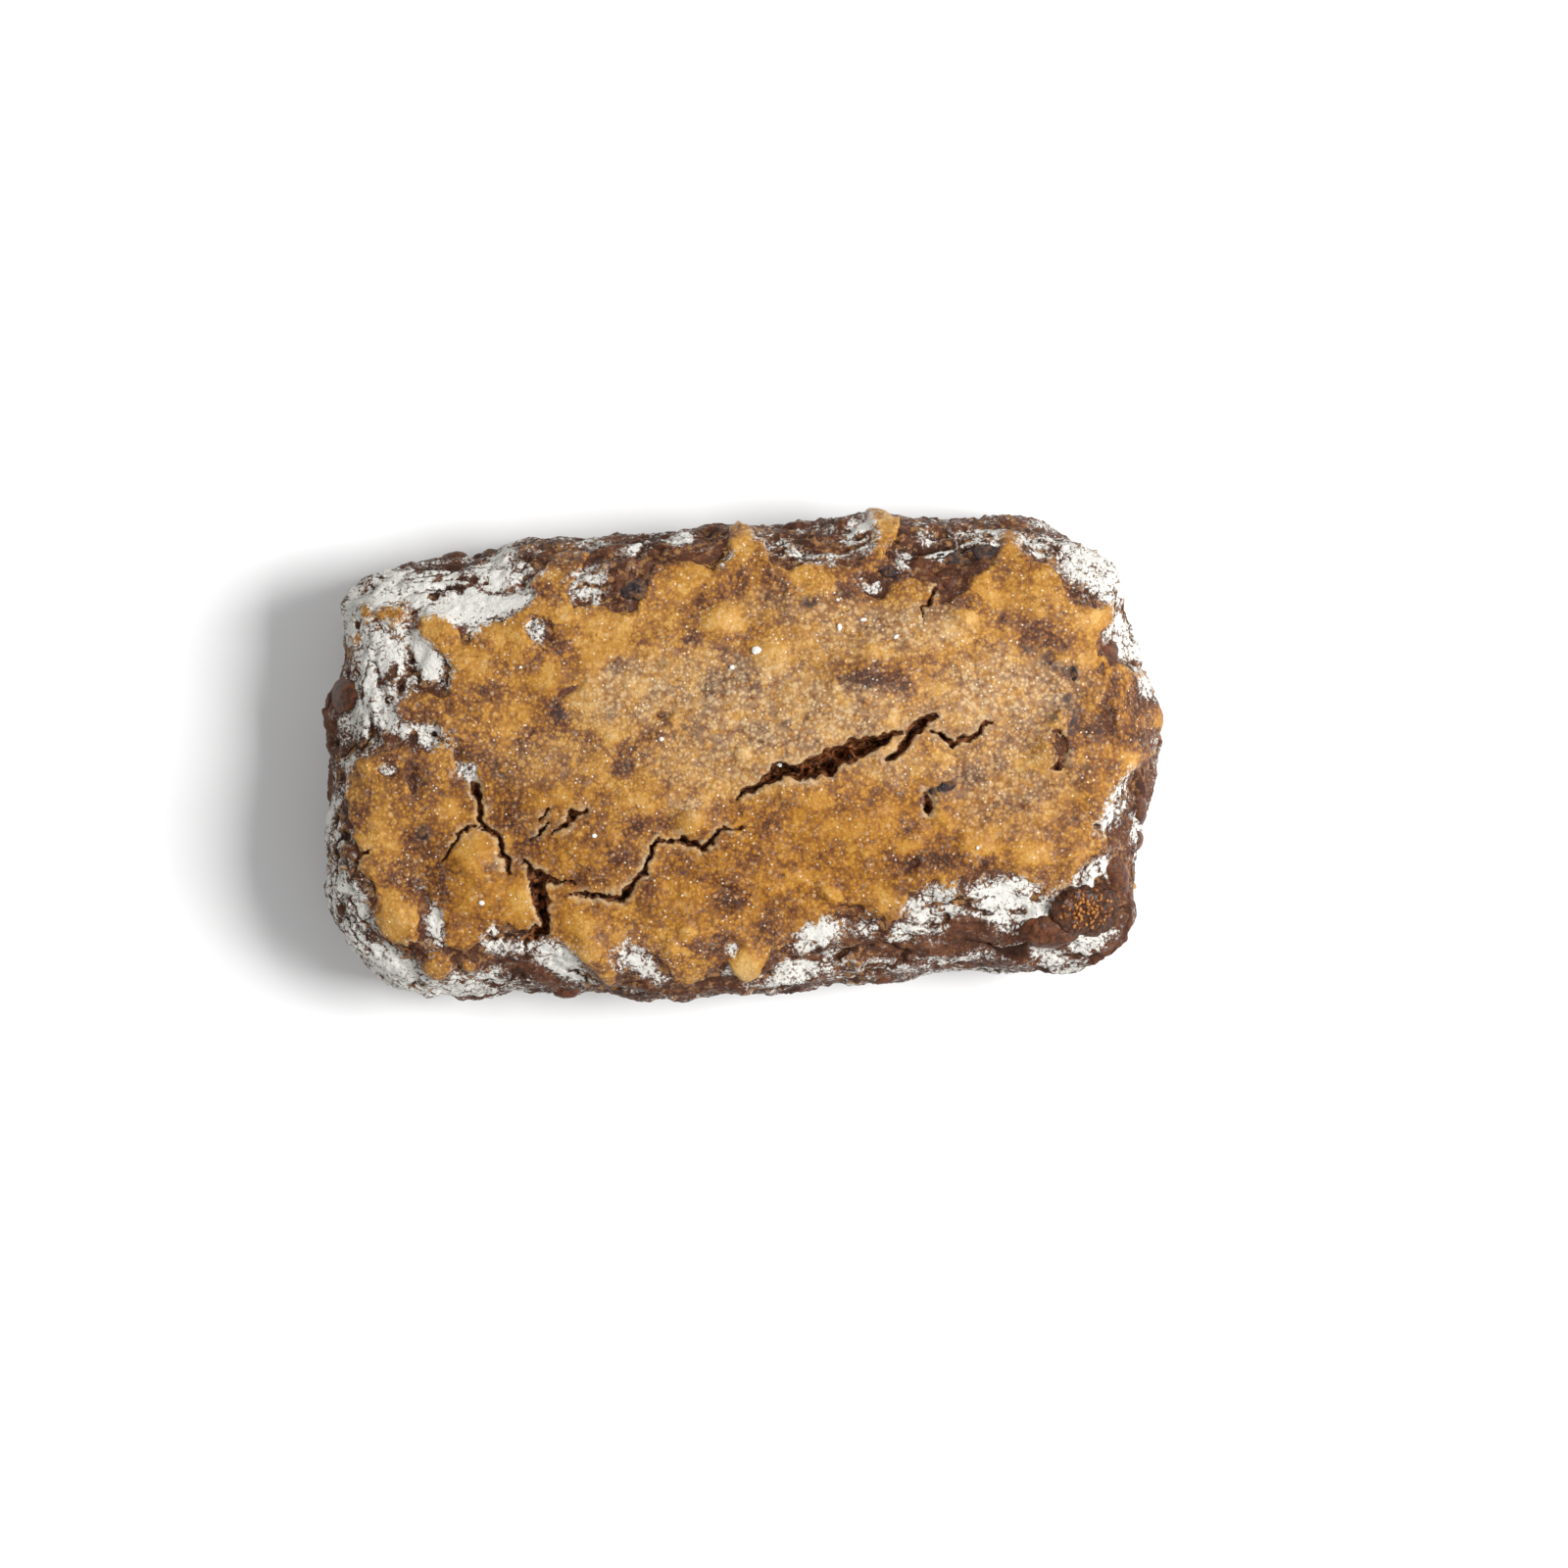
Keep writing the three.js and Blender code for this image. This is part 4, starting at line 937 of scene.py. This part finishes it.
# %% Crumbs of flour and sugar that lie on the crust
CRUMBS = [
    (0.045, 0.43, 1.15, 0.9, 0.7, 10, 0.25), (-0.012, 0.37, 0.65, 0.6, 0.5, 0, 0.2),
    (0.242, 0.51, 0.6, 0.9, 0.6, 0, 0.2), (0.3, 0.535, 0.8, 0.5, 0.4, 0, 0.1),
    (0.37, 0.455, 0.7, 0.45, 0.4, 30, 0.1), (0.085, -0.03, 0.7, 1, 0.5, 30, 0.1),
    (-0.35, -0.28, 0.6, 0.5, 0.4, 0, 0.1), (-0.62, -0.53, 0.7, 0.6, 0.4, 0, 0.1),
    (0.24, 0.62, 0.4, 0.35, 0.3, 0, 0.1), (-0.5, 0.42, 0.4, 0.35, 0.3, 0, 0.1),
    (0.53, -0.42, 0.35, 0.4, 0.3, 0, 0.1), (-0.18, 0.095, 0.55, 0.5, 0.35, 0, 0.1),
]
crumbs = lumps("flour_crumbs", CRUMBS, 0.25, 0.5, 14)

# %% [markdown]
# ## Finishes
# Every finish here is worked out by nodes from a point's own place and from the fields. Effects that more
# than one finish needs, such as a dusting of flour, are node groups: built once, with named inputs.

# %% Helpers for node trees
def connect(tree, socket, value):
    """Links a socket to another socket, or sets it to a plain value."""
    if isinstance(value, bpy.types.NodeSocket):
        tree.links.new(value, socket)
    else:
        socket.default_value = value


def add(tree, kind, settings=None, **inputs):
    """A node of that kind, with its settings, and each input set to a value or linked to a socket. A key such
    as i1 stands for the input of that number, and any other key for the input of that name."""
    node = tree.nodes.new(kind)
    for key, value in (settings or {}).items():
        setattr(node, key, value)
    for key, value in inputs.items():
        by_number = key[0] == "i" and key[1:].isdigit()
        connect(tree, node.inputs[int(key[1:]) if by_number else key.replace("_", " ")], value)
    return node


# %% Numbers
def maths(tree, operation, a, b=0.0, clamp=False):
    """One number from two."""
    return add(tree, "ShaderNodeMath", {"operation": operation, "use_clamp": clamp}, i0=a, i1=b).outputs[0]


def plus(tree, a, b, clamp=False):
    """a + b."""
    return maths(tree, "ADD", a, b, clamp)


def minus(tree, a, b):
    """a - b."""
    return maths(tree, "SUBTRACT", a, b)


def times(tree, a, b, clamp=False):
    """a times b."""
    return maths(tree, "MULTIPLY", a, b, clamp)


# %% Colours, noise, dots and fields
def blended(tree, factor, a, b, blend="MIX"):
    """One colour from two."""
    node = tree.nodes.new("ShaderNodeMix")
    node.data_type = "RGBA"
    node.blend_type = blend
    for socket, value in ((0, factor), (6, a), (7, b)):
        connect(tree, node.inputs[socket], value)
    return node.outputs[2]


def ranged(tree, value, low, high, out_low=0.0, out_high=1.0):
    """A smooth step from one range to another."""
    node = tree.nodes.new("ShaderNodeMapRange")
    node.interpolation_type = "SMOOTHSTEP"
    for socket, number in zip(node.inputs, (value, low, high, out_low, out_high)):
        connect(tree, socket, number)
    return node.outputs[0]


def noise(tree, place, size, detail=3.0, rough=0.55):
    """Noise with lumps of that size in mm, on Object coordinates in metres."""
    scale = 1 / (size * MM)
    node = add(tree, "ShaderNodeTexNoise", Vector=place, Scale=scale, Detail=detail, Roughness=rough)
    return node.outputs[0]


def dots(tree, place, size, radius, soft=0.5):
    """Round dots on a jittered grid of that size in mm: 1 within radius, as a share of the size."""
    cells = add(tree, "ShaderNodeTexVoronoi", Vector=place, Scale=1 / (size * MM), Randomness=1.0)
    return ranged(tree, cells.outputs["Distance"], radius, radius * soft)


def field(tree, name):
    """A field that travels with the piece's points."""
    return add(tree, "ShaderNodeAttribute", {"attribute_name": name}).outputs["Fac"]


# %% Node groups
def group(name, inputs, outputs):
    """An empty node group with named inputs and outputs."""
    tree = bpy.data.node_groups.new(name, "ShaderNodeTree")
    for socket, kind in inputs:
        tree.interface.new_socket(socket, in_out="INPUT", socket_type=kind)
    for socket, kind in outputs:
        tree.interface.new_socket(socket, in_out="OUTPUT", socket_type=kind)
    return tree, tree.nodes.new("NodeGroupInput"), tree.nodes.new("NodeGroupOutput")


def place_group(tree, source, **inputs):
    """A node group placed in a material with its own values."""
    node = tree.nodes.new("ShaderNodeGroup")
    node.node_tree = source
    for key, value in inputs.items():
        connect(tree, node.inputs[key.replace("_", " ")], value)
    return node


# %% [markdown]
# ### A dusting of flour
# Flour clings in drifts with ragged, cracked edges, and thins to a veil of single grains. The amount is a
# field, and noise at three sizes decides which spots it covers. Thin dark lines between cells of a Voronoi
# pattern crack the thick drifts.

# %% The flour group
DULL_FLOUR = (0.59, 0.565, 0.51, 1)
BRIGHT_FLOUR = (0.77, 0.76, 0.72, 1)
FLOAT, COLOUR, VECTOR = "NodeSocketFloat", "NodeSocketColor", "NodeSocketVector"
tree, given, result = group(
    "flour dusting", [("Place", VECTOR), ("Amount", FLOAT), ("Hollow", FLOAT)],
    [("Mask", FLOAT), ("Height", FLOAT), ("Colour", COLOUR)])
place, amount, hollow = given.outputs[:3]
ragged = plus(tree, times(tree, noise(tree, place, 3.2, 5, 0.62), 2.4), -1.2)
grains = plus(tree, times(tree, noise(tree, place, 0.8, 4, 0.7), 2.8), -1.4)
drift = add(tree, "ShaderNodeTexNoise", Vector=place, Scale=500.0, Detail=3.0).outputs[1]
spread = (1.6 * MM,) * 3
moved = add(tree, "ShaderNodeVectorMath", {"operation": "MULTIPLY_ADD"}, i0=drift, i1=spread, i2=place)
moved = moved.outputs[0]
lines = add(tree, "ShaderNodeTexVoronoi", {"feature": "DISTANCE_TO_EDGE"}, Vector=moved, Scale=300.0)
split = ranged(tree, lines.outputs["Distance"], 0.09, 0.0)
split = times(tree, split, ranged(tree, noise(tree, place, 6, 2), 0.44, 0.62))
total = plus(tree, amount, plus(tree, ragged, grains))
total = minus(tree, total, times(tree, split, ranged(tree, amount, 0.7, 1.3, 0.7, 0.5)))
total = minus(tree, total, times(tree, hollow, ranged(tree, amount, 0.6, 1.2, 0.75, 0.3)))
mask = ranged(tree, total, 0.36, 0.74)
veil = times(tree, ranged(tree, total, 0.1, 0.6), 0.35)
mask = times(tree, maths(tree, "MAXIMUM", mask, veil), ranged(tree, amount, -0.1, 0.2))
shade = noise(tree, place, 1.4, 4)
white = blended(tree, shade, DULL_FLOUR, BRIGHT_FLOUR)
tree.links.new(mask, result.inputs["Mask"])
tree.links.new(times(tree, mask, plus(tree, 0.6, times(tree, grains, 0.5))), result.inputs["Height"])
tree.links.new(white, result.inputs["Colour"])
flour_dust = tree
print("flour dusting:", [socket.name for socket in flour_dust.interface.items_tree])

# %% [markdown]
# ### Grain
# Baked dough and batter are full of tiny grains: pale sugar and nut crumbs, dark bran, and pin holes.

# %% The grain group
tree, given, result = group(
    "baked grain", [("Place", VECTOR), ("Pale amount", FLOAT)],
    [("Pale", FLOAT), ("Dark", FLOAT), ("Granule", FLOAT), ("Height", FLOAT)])
place, pale_amount = given.outputs[:2]
clumps = ranged(tree, noise(tree, place, 5, 3), 0.3, 0.7)
tiny = dots(tree, place, 0.7, 0.34)
small = dots(tree, place, 1.7, 0.24)
where = ranged(tree, noise(tree, place, 1.1, 2), 0.45, 0.6)
large = times(tree, dots(tree, place, 2.6, 0.34, 0.5), 0.9)
granule = maths(tree, "MAXIMUM", dots(tree, place, 1.05, 0.6, 0.2), large)
pale = times(tree, maths(tree, "MAXIMUM", times(tree, tiny, where), times(tree, small, 0.8)), clumps)
pale = times(tree, pale, pale_amount, True)
fine = noise(tree, place, 0.45, 3, 0.7)
bran = ranged(tree, noise(tree, place, 0.75, 4, 0.68), 0.56, 0.7)
dark = times(tree, bran, ranged(tree, noise(tree, place, 4, 2), 0.4, 0.62))
height = plus(tree, times(tree, fine, 0.7), times(tree, granule, 0.35))
height = minus(tree, height, times(tree, dots(tree, place, 3.4, 0.1), 1.0))
for socket, value in (("Pale", pale), ("Dark", dark), ("Granule", granule), ("Height", height)):
    tree.links.new(value, result.inputs[socket])
grain = tree
print("baked grain:", [socket.name for socket in grain.interface.items_tree])

# %% How every finish starts, and how it gets its relief
def finish(name, roughness=0.5, coat=0.0, specular=0.5):
    """A new material: its tree, its shader and its Object coordinates."""
    material = bpy.data.materials.new(name)
    material.use_nodes = True
    tree = material.node_tree
    shader = tree.nodes["Principled BSDF"]
    shader.inputs["Roughness"].default_value = roughness
    shader.inputs["Coat Weight"].default_value = coat
    shader.inputs["Specular IOR Level"].default_value = specular
    shader.inputs["Coat Roughness"].default_value = 0.25
    place = add(tree, "ShaderNodeTexCoord").outputs["Object"]
    return material, tree, shader, place


def set_bump(tree, shader, height, distance, strength=1.0):
    """Relief finer than the mesh: a Bump node, with its full height in mm."""
    bump = add(tree, "ShaderNodeBump", Height=height, Distance=distance * MM, Strength=strength)
    tree.links.new(bump.outputs[0], shader.inputs["Normal"])


# %% [markdown]
# ### Batter crust
# Batter is see-through where it set thin, so dark dough turns it a dusky brown, and golden where it pooled.
# Two materials with a mask between them would look cut out, because the real change is gradual. A colour
# ramp from thin to thick gives that, driven by the thickness field and by mottling noise.

# %% The batter's colour, from thin to thick
THIN_TO_THICK = [
    (0.0, (0.062, 0.022, 0.011)), (0.2, (0.14, 0.053, 0.023)), (0.38, (0.235, 0.098, 0.027)),
    (0.54, (0.345, 0.153, 0.027)), (0.74, (0.465, 0.229, 0.043)), (1.0, (0.59, 0.36, 0.115))]
AMBER_TINT = (0.86, 0.77, 0.5, 1)

crust_finish, tree, shader, place = finish("baked batter", coat=0.03, specular=0.16)
haze = field(tree, "haze")
grains = place_group(tree, grain, Place=place, Pale_amount=plus(tree, 0.75, times(tree, haze, 0.25)))
mottle = minus(tree, noise(tree, place, 5.5, 5, 0.62), 0.5)
speck = minus(tree, noise(tree, place, 1.4, 5, 0.68), 0.5)
lobes = ranged(tree, noise(tree, place, 4.2, 2, 0.45), 0.56, 0.62)
thickness_here = plus(tree, field(tree, "thick"), times(tree, lobes, 0.45))
even = ranged(tree, thickness_here, 0.3, 0.95, 1.0, 0.42)
mottle, speck = times(tree, mottle, even), times(tree, speck, even)
pool = times(tree, thickness_here, 0.33)
thin_here = ranged(tree, thickness_here, 0.8, -0.3, 0.12, 0.36)
granular = times(tree, minus(tree, grains.outputs["Granule"], 0.45), thin_here)
level = plus(tree, plus(tree, pool, 0.525), times(tree, mottle, 1.1))
level = plus(tree, plus(tree, level, granular), times(tree, speck, 1.1))
ramp = tree.nodes.new("ShaderNodeValToRGB")
tree.links.new(level, ramp.inputs[0])
ramp.color_ramp.elements.remove(ramp.color_ramp.elements[0])
ramp.color_ramp.elements[0].position = THIN_TO_THICK[0][0]
ramp.color_ramp.elements[0].color = (*THIN_TO_THICK[0][1], 1)
for position, colour in THIN_TO_THICK[1:]:
    ramp.color_ramp.elements.new(position).color = (*colour, 1)
colour = ramp.outputs[0]
deeper = blended(tree, 1.0, colour, AMBER_TINT, "MULTIPLY")
colour = blended(tree, field(tree, "amber"), colour, deeper)
print(f"{len(tree.nodes)} nodes turn thickness into colour")

# %% [markdown]
# On that colour come the small things: fine flour that baked into the batter, bran, nut crumbs, sugar and
# burst bubbles. Each is a mask made from noise or dots, which lets a colour of its own through.

# %% Fine flour, bran, crumbs, sugar and bubbles
PALE_GRANULE = (0.58, 0.42, 0.24, 1)
BRAN = (0.105, 0.037, 0.016, 1)
NUT_CRUMB = (0.66, 0.5, 0.31, 1)
SUGAR = (0.84, 0.77, 0.64, 1)
BUBBLE = (0.6, 0.42, 0.24, 1)

hazy = times(tree, haze, ranged(tree, noise(tree, place, 1.8, 4, 0.65), 0.3, 0.64), True)
pale_granules = times(tree, hazy, plus(tree, 0.3, times(tree, grains.outputs["Granule"], 0.6)))
colour = blended(tree, pale_granules, colour, PALE_GRANULE)
colour = blended(tree, times(tree, grains.outputs["Dark"], 0.65), colour, BRAN)
paler = minus(tree, 0.75, times(tree, field(tree, "amber"), 0.25))
colour = blended(tree, times(tree, grains.outputs["Pale"], paler), colour, NUT_CRUMB)
sugar = times(tree, dots(tree, place, 1.7, 0.15, 0.6), ranged(tree, noise(tree, place, 7, 2), 0.38, 0.55))
colour = blended(tree, times(tree, sugar, 0.75), colour, SUGAR)
bubbles = times(tree, dots(tree, place, 3.2, 0.18, 0.7), ranged(tree, noise(tree, place, 9, 2), 0.42, 0.55))
colour = blended(tree, times(tree, bubbles, 0.5), colour, BUBBLE)
print(f"{len(tree.nodes)} nodes with the grains")

# %% [markdown]
# Prunes show blue-black through the batter. The broken rim of a crack is pale and dry, and its walls are
# dark and torn. Loose flour lies over the crust's edges, and makes them rough and dull.

# %% Prunes, rims, loose flour and gloss
BLUE_BLACK = (0.035, 0.026, 0.032, 1)
TORN_BATTER = (0.085, 0.028, 0.009, 1)

prune = times(tree, field(tree, "prune"), ranged(tree, noise(tree, place, 1.2, 4), 0.3, 0.55))
colour = blended(tree, times(tree, prune, 0.85), colour, BLUE_BLACK)
rim_spots = times(tree, field(tree, "rim"), ranged(tree, noise(tree, place, 1.6, 3), 0.25, 0.6))
colour = blended(tree, times(tree, rim_spots, 0.75), colour, PALE_GRANULE)
torn = field(tree, "torn")
colour = blended(tree, torn, colour, TORN_BATTER)
floured = plus(tree, field(tree, "flour"), -0.02)
dust = place_group(tree, flour_dust, Place=place, Amount=floured, Hollow=0.0)
colour = blended(tree, times(tree, dust.outputs["Mask"], 0.9), colour, dust.outputs["Colour"])
tree.links.new(colour, shader.inputs["Base Color"])
gloss = plus(tree, 0.34, times(tree, noise(tree, place, 2.2, 3), 0.3))
gloss = plus(tree, gloss, times(tree, dust.outputs["Mask"], 0.4), True)
tree.links.new(gloss, shader.inputs["Roughness"])
relief = plus(tree, grains.outputs["Height"], times(tree, speck, 1.2))
relief = plus(tree, relief, times(tree, dust.outputs["Height"], 0.6))
set_bump(tree, shader, relief, 0.22)
print(f"{crust_finish.name}: {len(tree.nodes)} nodes")

# %% [markdown]
# ### Bare dough
# The dough is nearly black-brown, and redder where it tore. It is moist, so it has a dull shine.

# %% The dough's browns, and painted shade in its creases
DARK_DOUGH = (0.046, 0.0155, 0.0085, 1)
BROWN_DOUGH = (0.115, 0.04, 0.018, 1)
DOUGH_RIDGE = (0.185, 0.075, 0.033, 1)
CREASE_PAINTED_SHADE = (0.018, 0.007, 0.004, 1)

dough_finish, tree, shader, place = finish("dark fruit dough", specular=0.13)
patch = noise(tree, place, 7, 4, 0.6)
lump = noise(tree, place, 2.0, 5, 0.65)
colour = blended(tree, ranged(tree, patch, 0.3, 0.7), DARK_DOUGH, BROWN_DOUGH)
colour = blended(tree, ranged(tree, lump, 0.45, 0.75), colour, DOUGH_RIDGE)
# Creases and pits are painted near-black: painted shade in the dough's hollows.
colour = blended(tree, times(tree, field(tree, "crease"), 0.85), colour, CREASE_PAINTED_SHADE)
print(f"{len(tree.nodes)} nodes for the plain dough")

# %% [markdown]
# Batter left a thin smear on the dough beside the crust. Inside a crack the dough is torn and red-brown on
# its strands, and its hollows are painted near-black as shade. Flour lies on the rest, and stays out of the
# cracks.

# %% Smears, torn dough with painted shade, and flour
BATTER_SMEAR = (0.3, 0.15, 0.055, 1)
CRACK_PAINTED_SHADE = (0.012, 0.004, 0.002, 1)
TORN_RIDGE = (0.3, 0.1, 0.032, 1)
DOUGH_GRAIN = (0.4, 0.27, 0.17, 1)

smear = times(tree, field(tree, "smear"), ranged(tree, lump, 0.5, 0.62))
colour = blended(tree, smear, colour, BATTER_SMEAR)
torn = field(tree, "torn")
torn_ridge = ranged(tree, noise(tree, place, 1.5, 4), 0.4, 0.66)
# Red-brown torn strands, mixed with near-black painted shade in the crack's hollows.
torn_dough_and_shade = blended(tree, torn_ridge, CRACK_PAINTED_SHADE, TORN_RIDGE)
colour = blended(tree, torn, colour, torn_dough_and_shade)
grains = place_group(tree, grain, Place=place, Pale_amount=0.5)
colour = blended(tree, times(tree, grains.outputs["Pale"], 0.3), colour, DOUGH_GRAIN)
dust = place_group(tree, flour_dust, Place=place, Amount=field(tree, "flour"), Hollow=field(tree, "crease"))
cover_mask = times(tree, dust.outputs["Mask"], minus(tree, 1.0, torn))
colour = blended(tree, cover_mask, colour, dust.outputs["Colour"])
tree.links.new(colour, shader.inputs["Base Color"])
gloss = plus(tree, 0.42, times(tree, patch, 0.2))
gloss = plus(tree, gloss, times(tree, cover_mask, 0.4), True)
tree.links.new(gloss, shader.inputs["Roughness"])
relief = plus(tree, times(tree, lump, 1.6), times(tree, grains.outputs["Height"], 0.6))
relief = plus(tree, relief, times(tree, dust.outputs["Height"], 0.5))
set_bump(tree, shader, relief, 0.35)
print(f"{dough_finish.name}: {len(tree.nodes)} nodes")

# %% [markdown]
# ### Fruit
# Raisins and prunes are nearly black with a blue bloom, and glossy where the batter didn't reach. Dates are
# a smooth red-brown. Fig flesh is dark and wet, and its seeds are clear amber.

# %% The fruits' finishes
FRUIT_VEIL = (0.22, 0.1, 0.035, 1)
FRUIT_GRAIN = (0.42, 0.29, 0.18, 1)
DULL_CRUMB = (0.6, 0.58, 0.53, 1)
BRIGHT_CRUMB = (0.86, 0.85, 0.81, 1)


def fruit_finish(name, deep, light, roughness, coat, veil, relief, size=1.4):
    """Dried fruit: two browns mixed by noise, a thin veil of batter in patches, and its grain as relief."""
    material, tree, shader, place = finish(name, roughness, coat, 0.2)
    tone = ranged(tree, noise(tree, place, size, 4, 0.6), 0.35, 0.68)
    colour = blended(tree, tone, (*deep, 1), (*light, 1))
    patches_of_batter = times(tree, ranged(tree, noise(tree, place, 2.6, 4, 0.6), 0.45, 0.66), veil)
    colour = blended(tree, patches_of_batter, colour, FRUIT_VEIL)
    grains = place_group(tree, grain, Place=place, Pale_amount=0.5)
    colour = blended(tree, times(tree, grains.outputs["Pale"], 0.3), colour, FRUIT_GRAIN)
    tree.links.new(colour, shader.inputs["Base Color"])
    rough = plus(tree, roughness - 0.12, times(tree, noise(tree, place, 1.8, 3), 0.3))
    tree.links.new(rough, shader.inputs["Roughness"])
    set_bump(tree, shader, plus(tree, grains.outputs["Height"], noise(tree, place, 0.9, 4)), relief)
    return material


raisin_finish = fruit_finish(
    "raisin skin", (0.011, 0.007, 0.008), (0.05, 0.03, 0.031), 0.42, 0.08, 0.7, 0.25)
date_finish = fruit_finish(
    "date skin", (0.036, 0.01, 0.004), (0.14, 0.04, 0.012), 0.36, 0.1, 0.25, 0.25, 2.0)
fig_finish = fruit_finish(
    "fig flesh", (0.024, 0.007, 0.003), (0.12, 0.034, 0.009), 0.3, 0.2, 0.1, 0.5, 1.1)
seed_finish = fruit_finish(
    "fig seed", (0.16, 0.052, 0.009), (0.42, 0.17, 0.035), 0.25, 0.25, 0.0, 0.03, 2.5)
crumb_finish, tree, shader, place = finish("flour and sugar crumbs", 0.7)
crumb_tone = noise(tree, place, 0.5, 3)
crumb_colour = blended(tree, crumb_tone, DULL_CRUMB, BRIGHT_CRUMB)
tree.links.new(crumb_colour, shader.inputs["Base Color"])
set_bump(tree, shader, crumb_tone, 0.12)

# %% Giving each piece its finish
for piece, material in (
        (dough, dough_finish), (crust, crust_finish), (raisins, raisin_finish), (dates, date_finish),
        (fig, fig_finish), (seeds, seed_finish), (crumbs, crumb_finish)):
    piece.data.materials.clear()
    piece.data.materials.append(material)
print(f"{len(bpy.data.materials)} finishes so far")

# %% [markdown]
# ## Floor and light
# The loaf lies on a plain white floor. One large soft light stands to its right, about fifty degrees up,
# and throws a short soft shadow to the left. A white sky fills the shadow.

# %% Floor, soft light and sky
FLOOR_SIZE = 6.0
FLOOR_GAP = 0.15
corners = np.array([(-1, -1, 0), (1, -1, 0), (1, 1, 0), (-1, 1, 0)]) * FLOOR_SIZE / 2 / MM
floor = make_piece("floor", corners - (0, 0, FLOOR_GAP), np.array([[0, 1, 2, 3]]))
white, tree, shader, place = finish("white floor", roughness=0.8)
paper = blended(tree, noise(tree, place, 90, 2), (0.88, 0.88, 0.88, 1), (0.9, 0.9, 0.9, 1))
tree.links.new(paper, shader.inputs["Base Color"])
floor.data.materials.append(white)

LIGHT_DISTANCE = 1.3
LIGHT_ELEVATION = math.radians(52)
LIGHT_TURN = math.radians(-2)
LIGHT_SIZE = 0.5
LIGHT_WATTS = 21
SKY_STRENGTH = 0.5
key = bpy.data.objects.new("key", bpy.data.lights.new("key", "AREA"))
level = LIGHT_DISTANCE * math.cos(LIGHT_ELEVATION)
key.location = (
    level * math.cos(LIGHT_TURN), level * math.sin(LIGHT_TURN), LIGHT_DISTANCE * math.sin(LIGHT_ELEVATION))
key.rotation_euler = (-Vector(key.location)).to_track_quat("-Z", "Y").to_euler()
key.data.size = LIGHT_SIZE
key.data.energy = LIGHT_WATTS
bpy.context.scene.collection.objects.link(key)

sky = bpy.data.worlds.new("sky")
sky.use_nodes = True
sky.node_tree.nodes["Background"].inputs["Color"].default_value = (1, 1, 1, 1)
sky.node_tree.nodes["Background"].inputs["Strength"].default_value = SKY_STRENGTH
bpy.context.scene.world = sky
bpy.context.scene.view_settings.view_transform = "Standard"
print("one soft light and a white sky")

# %% [markdown]
# ## Tying the pieces to the solid
# Every piece rides on the loaf's one body. Together they stand for the one solid.

# %% Bodies, and the solid model hidden
for piece in (dough, crust, raisins, dates, fig, seeds, crumbs):
    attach(piece, "root")
    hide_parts("loaf")
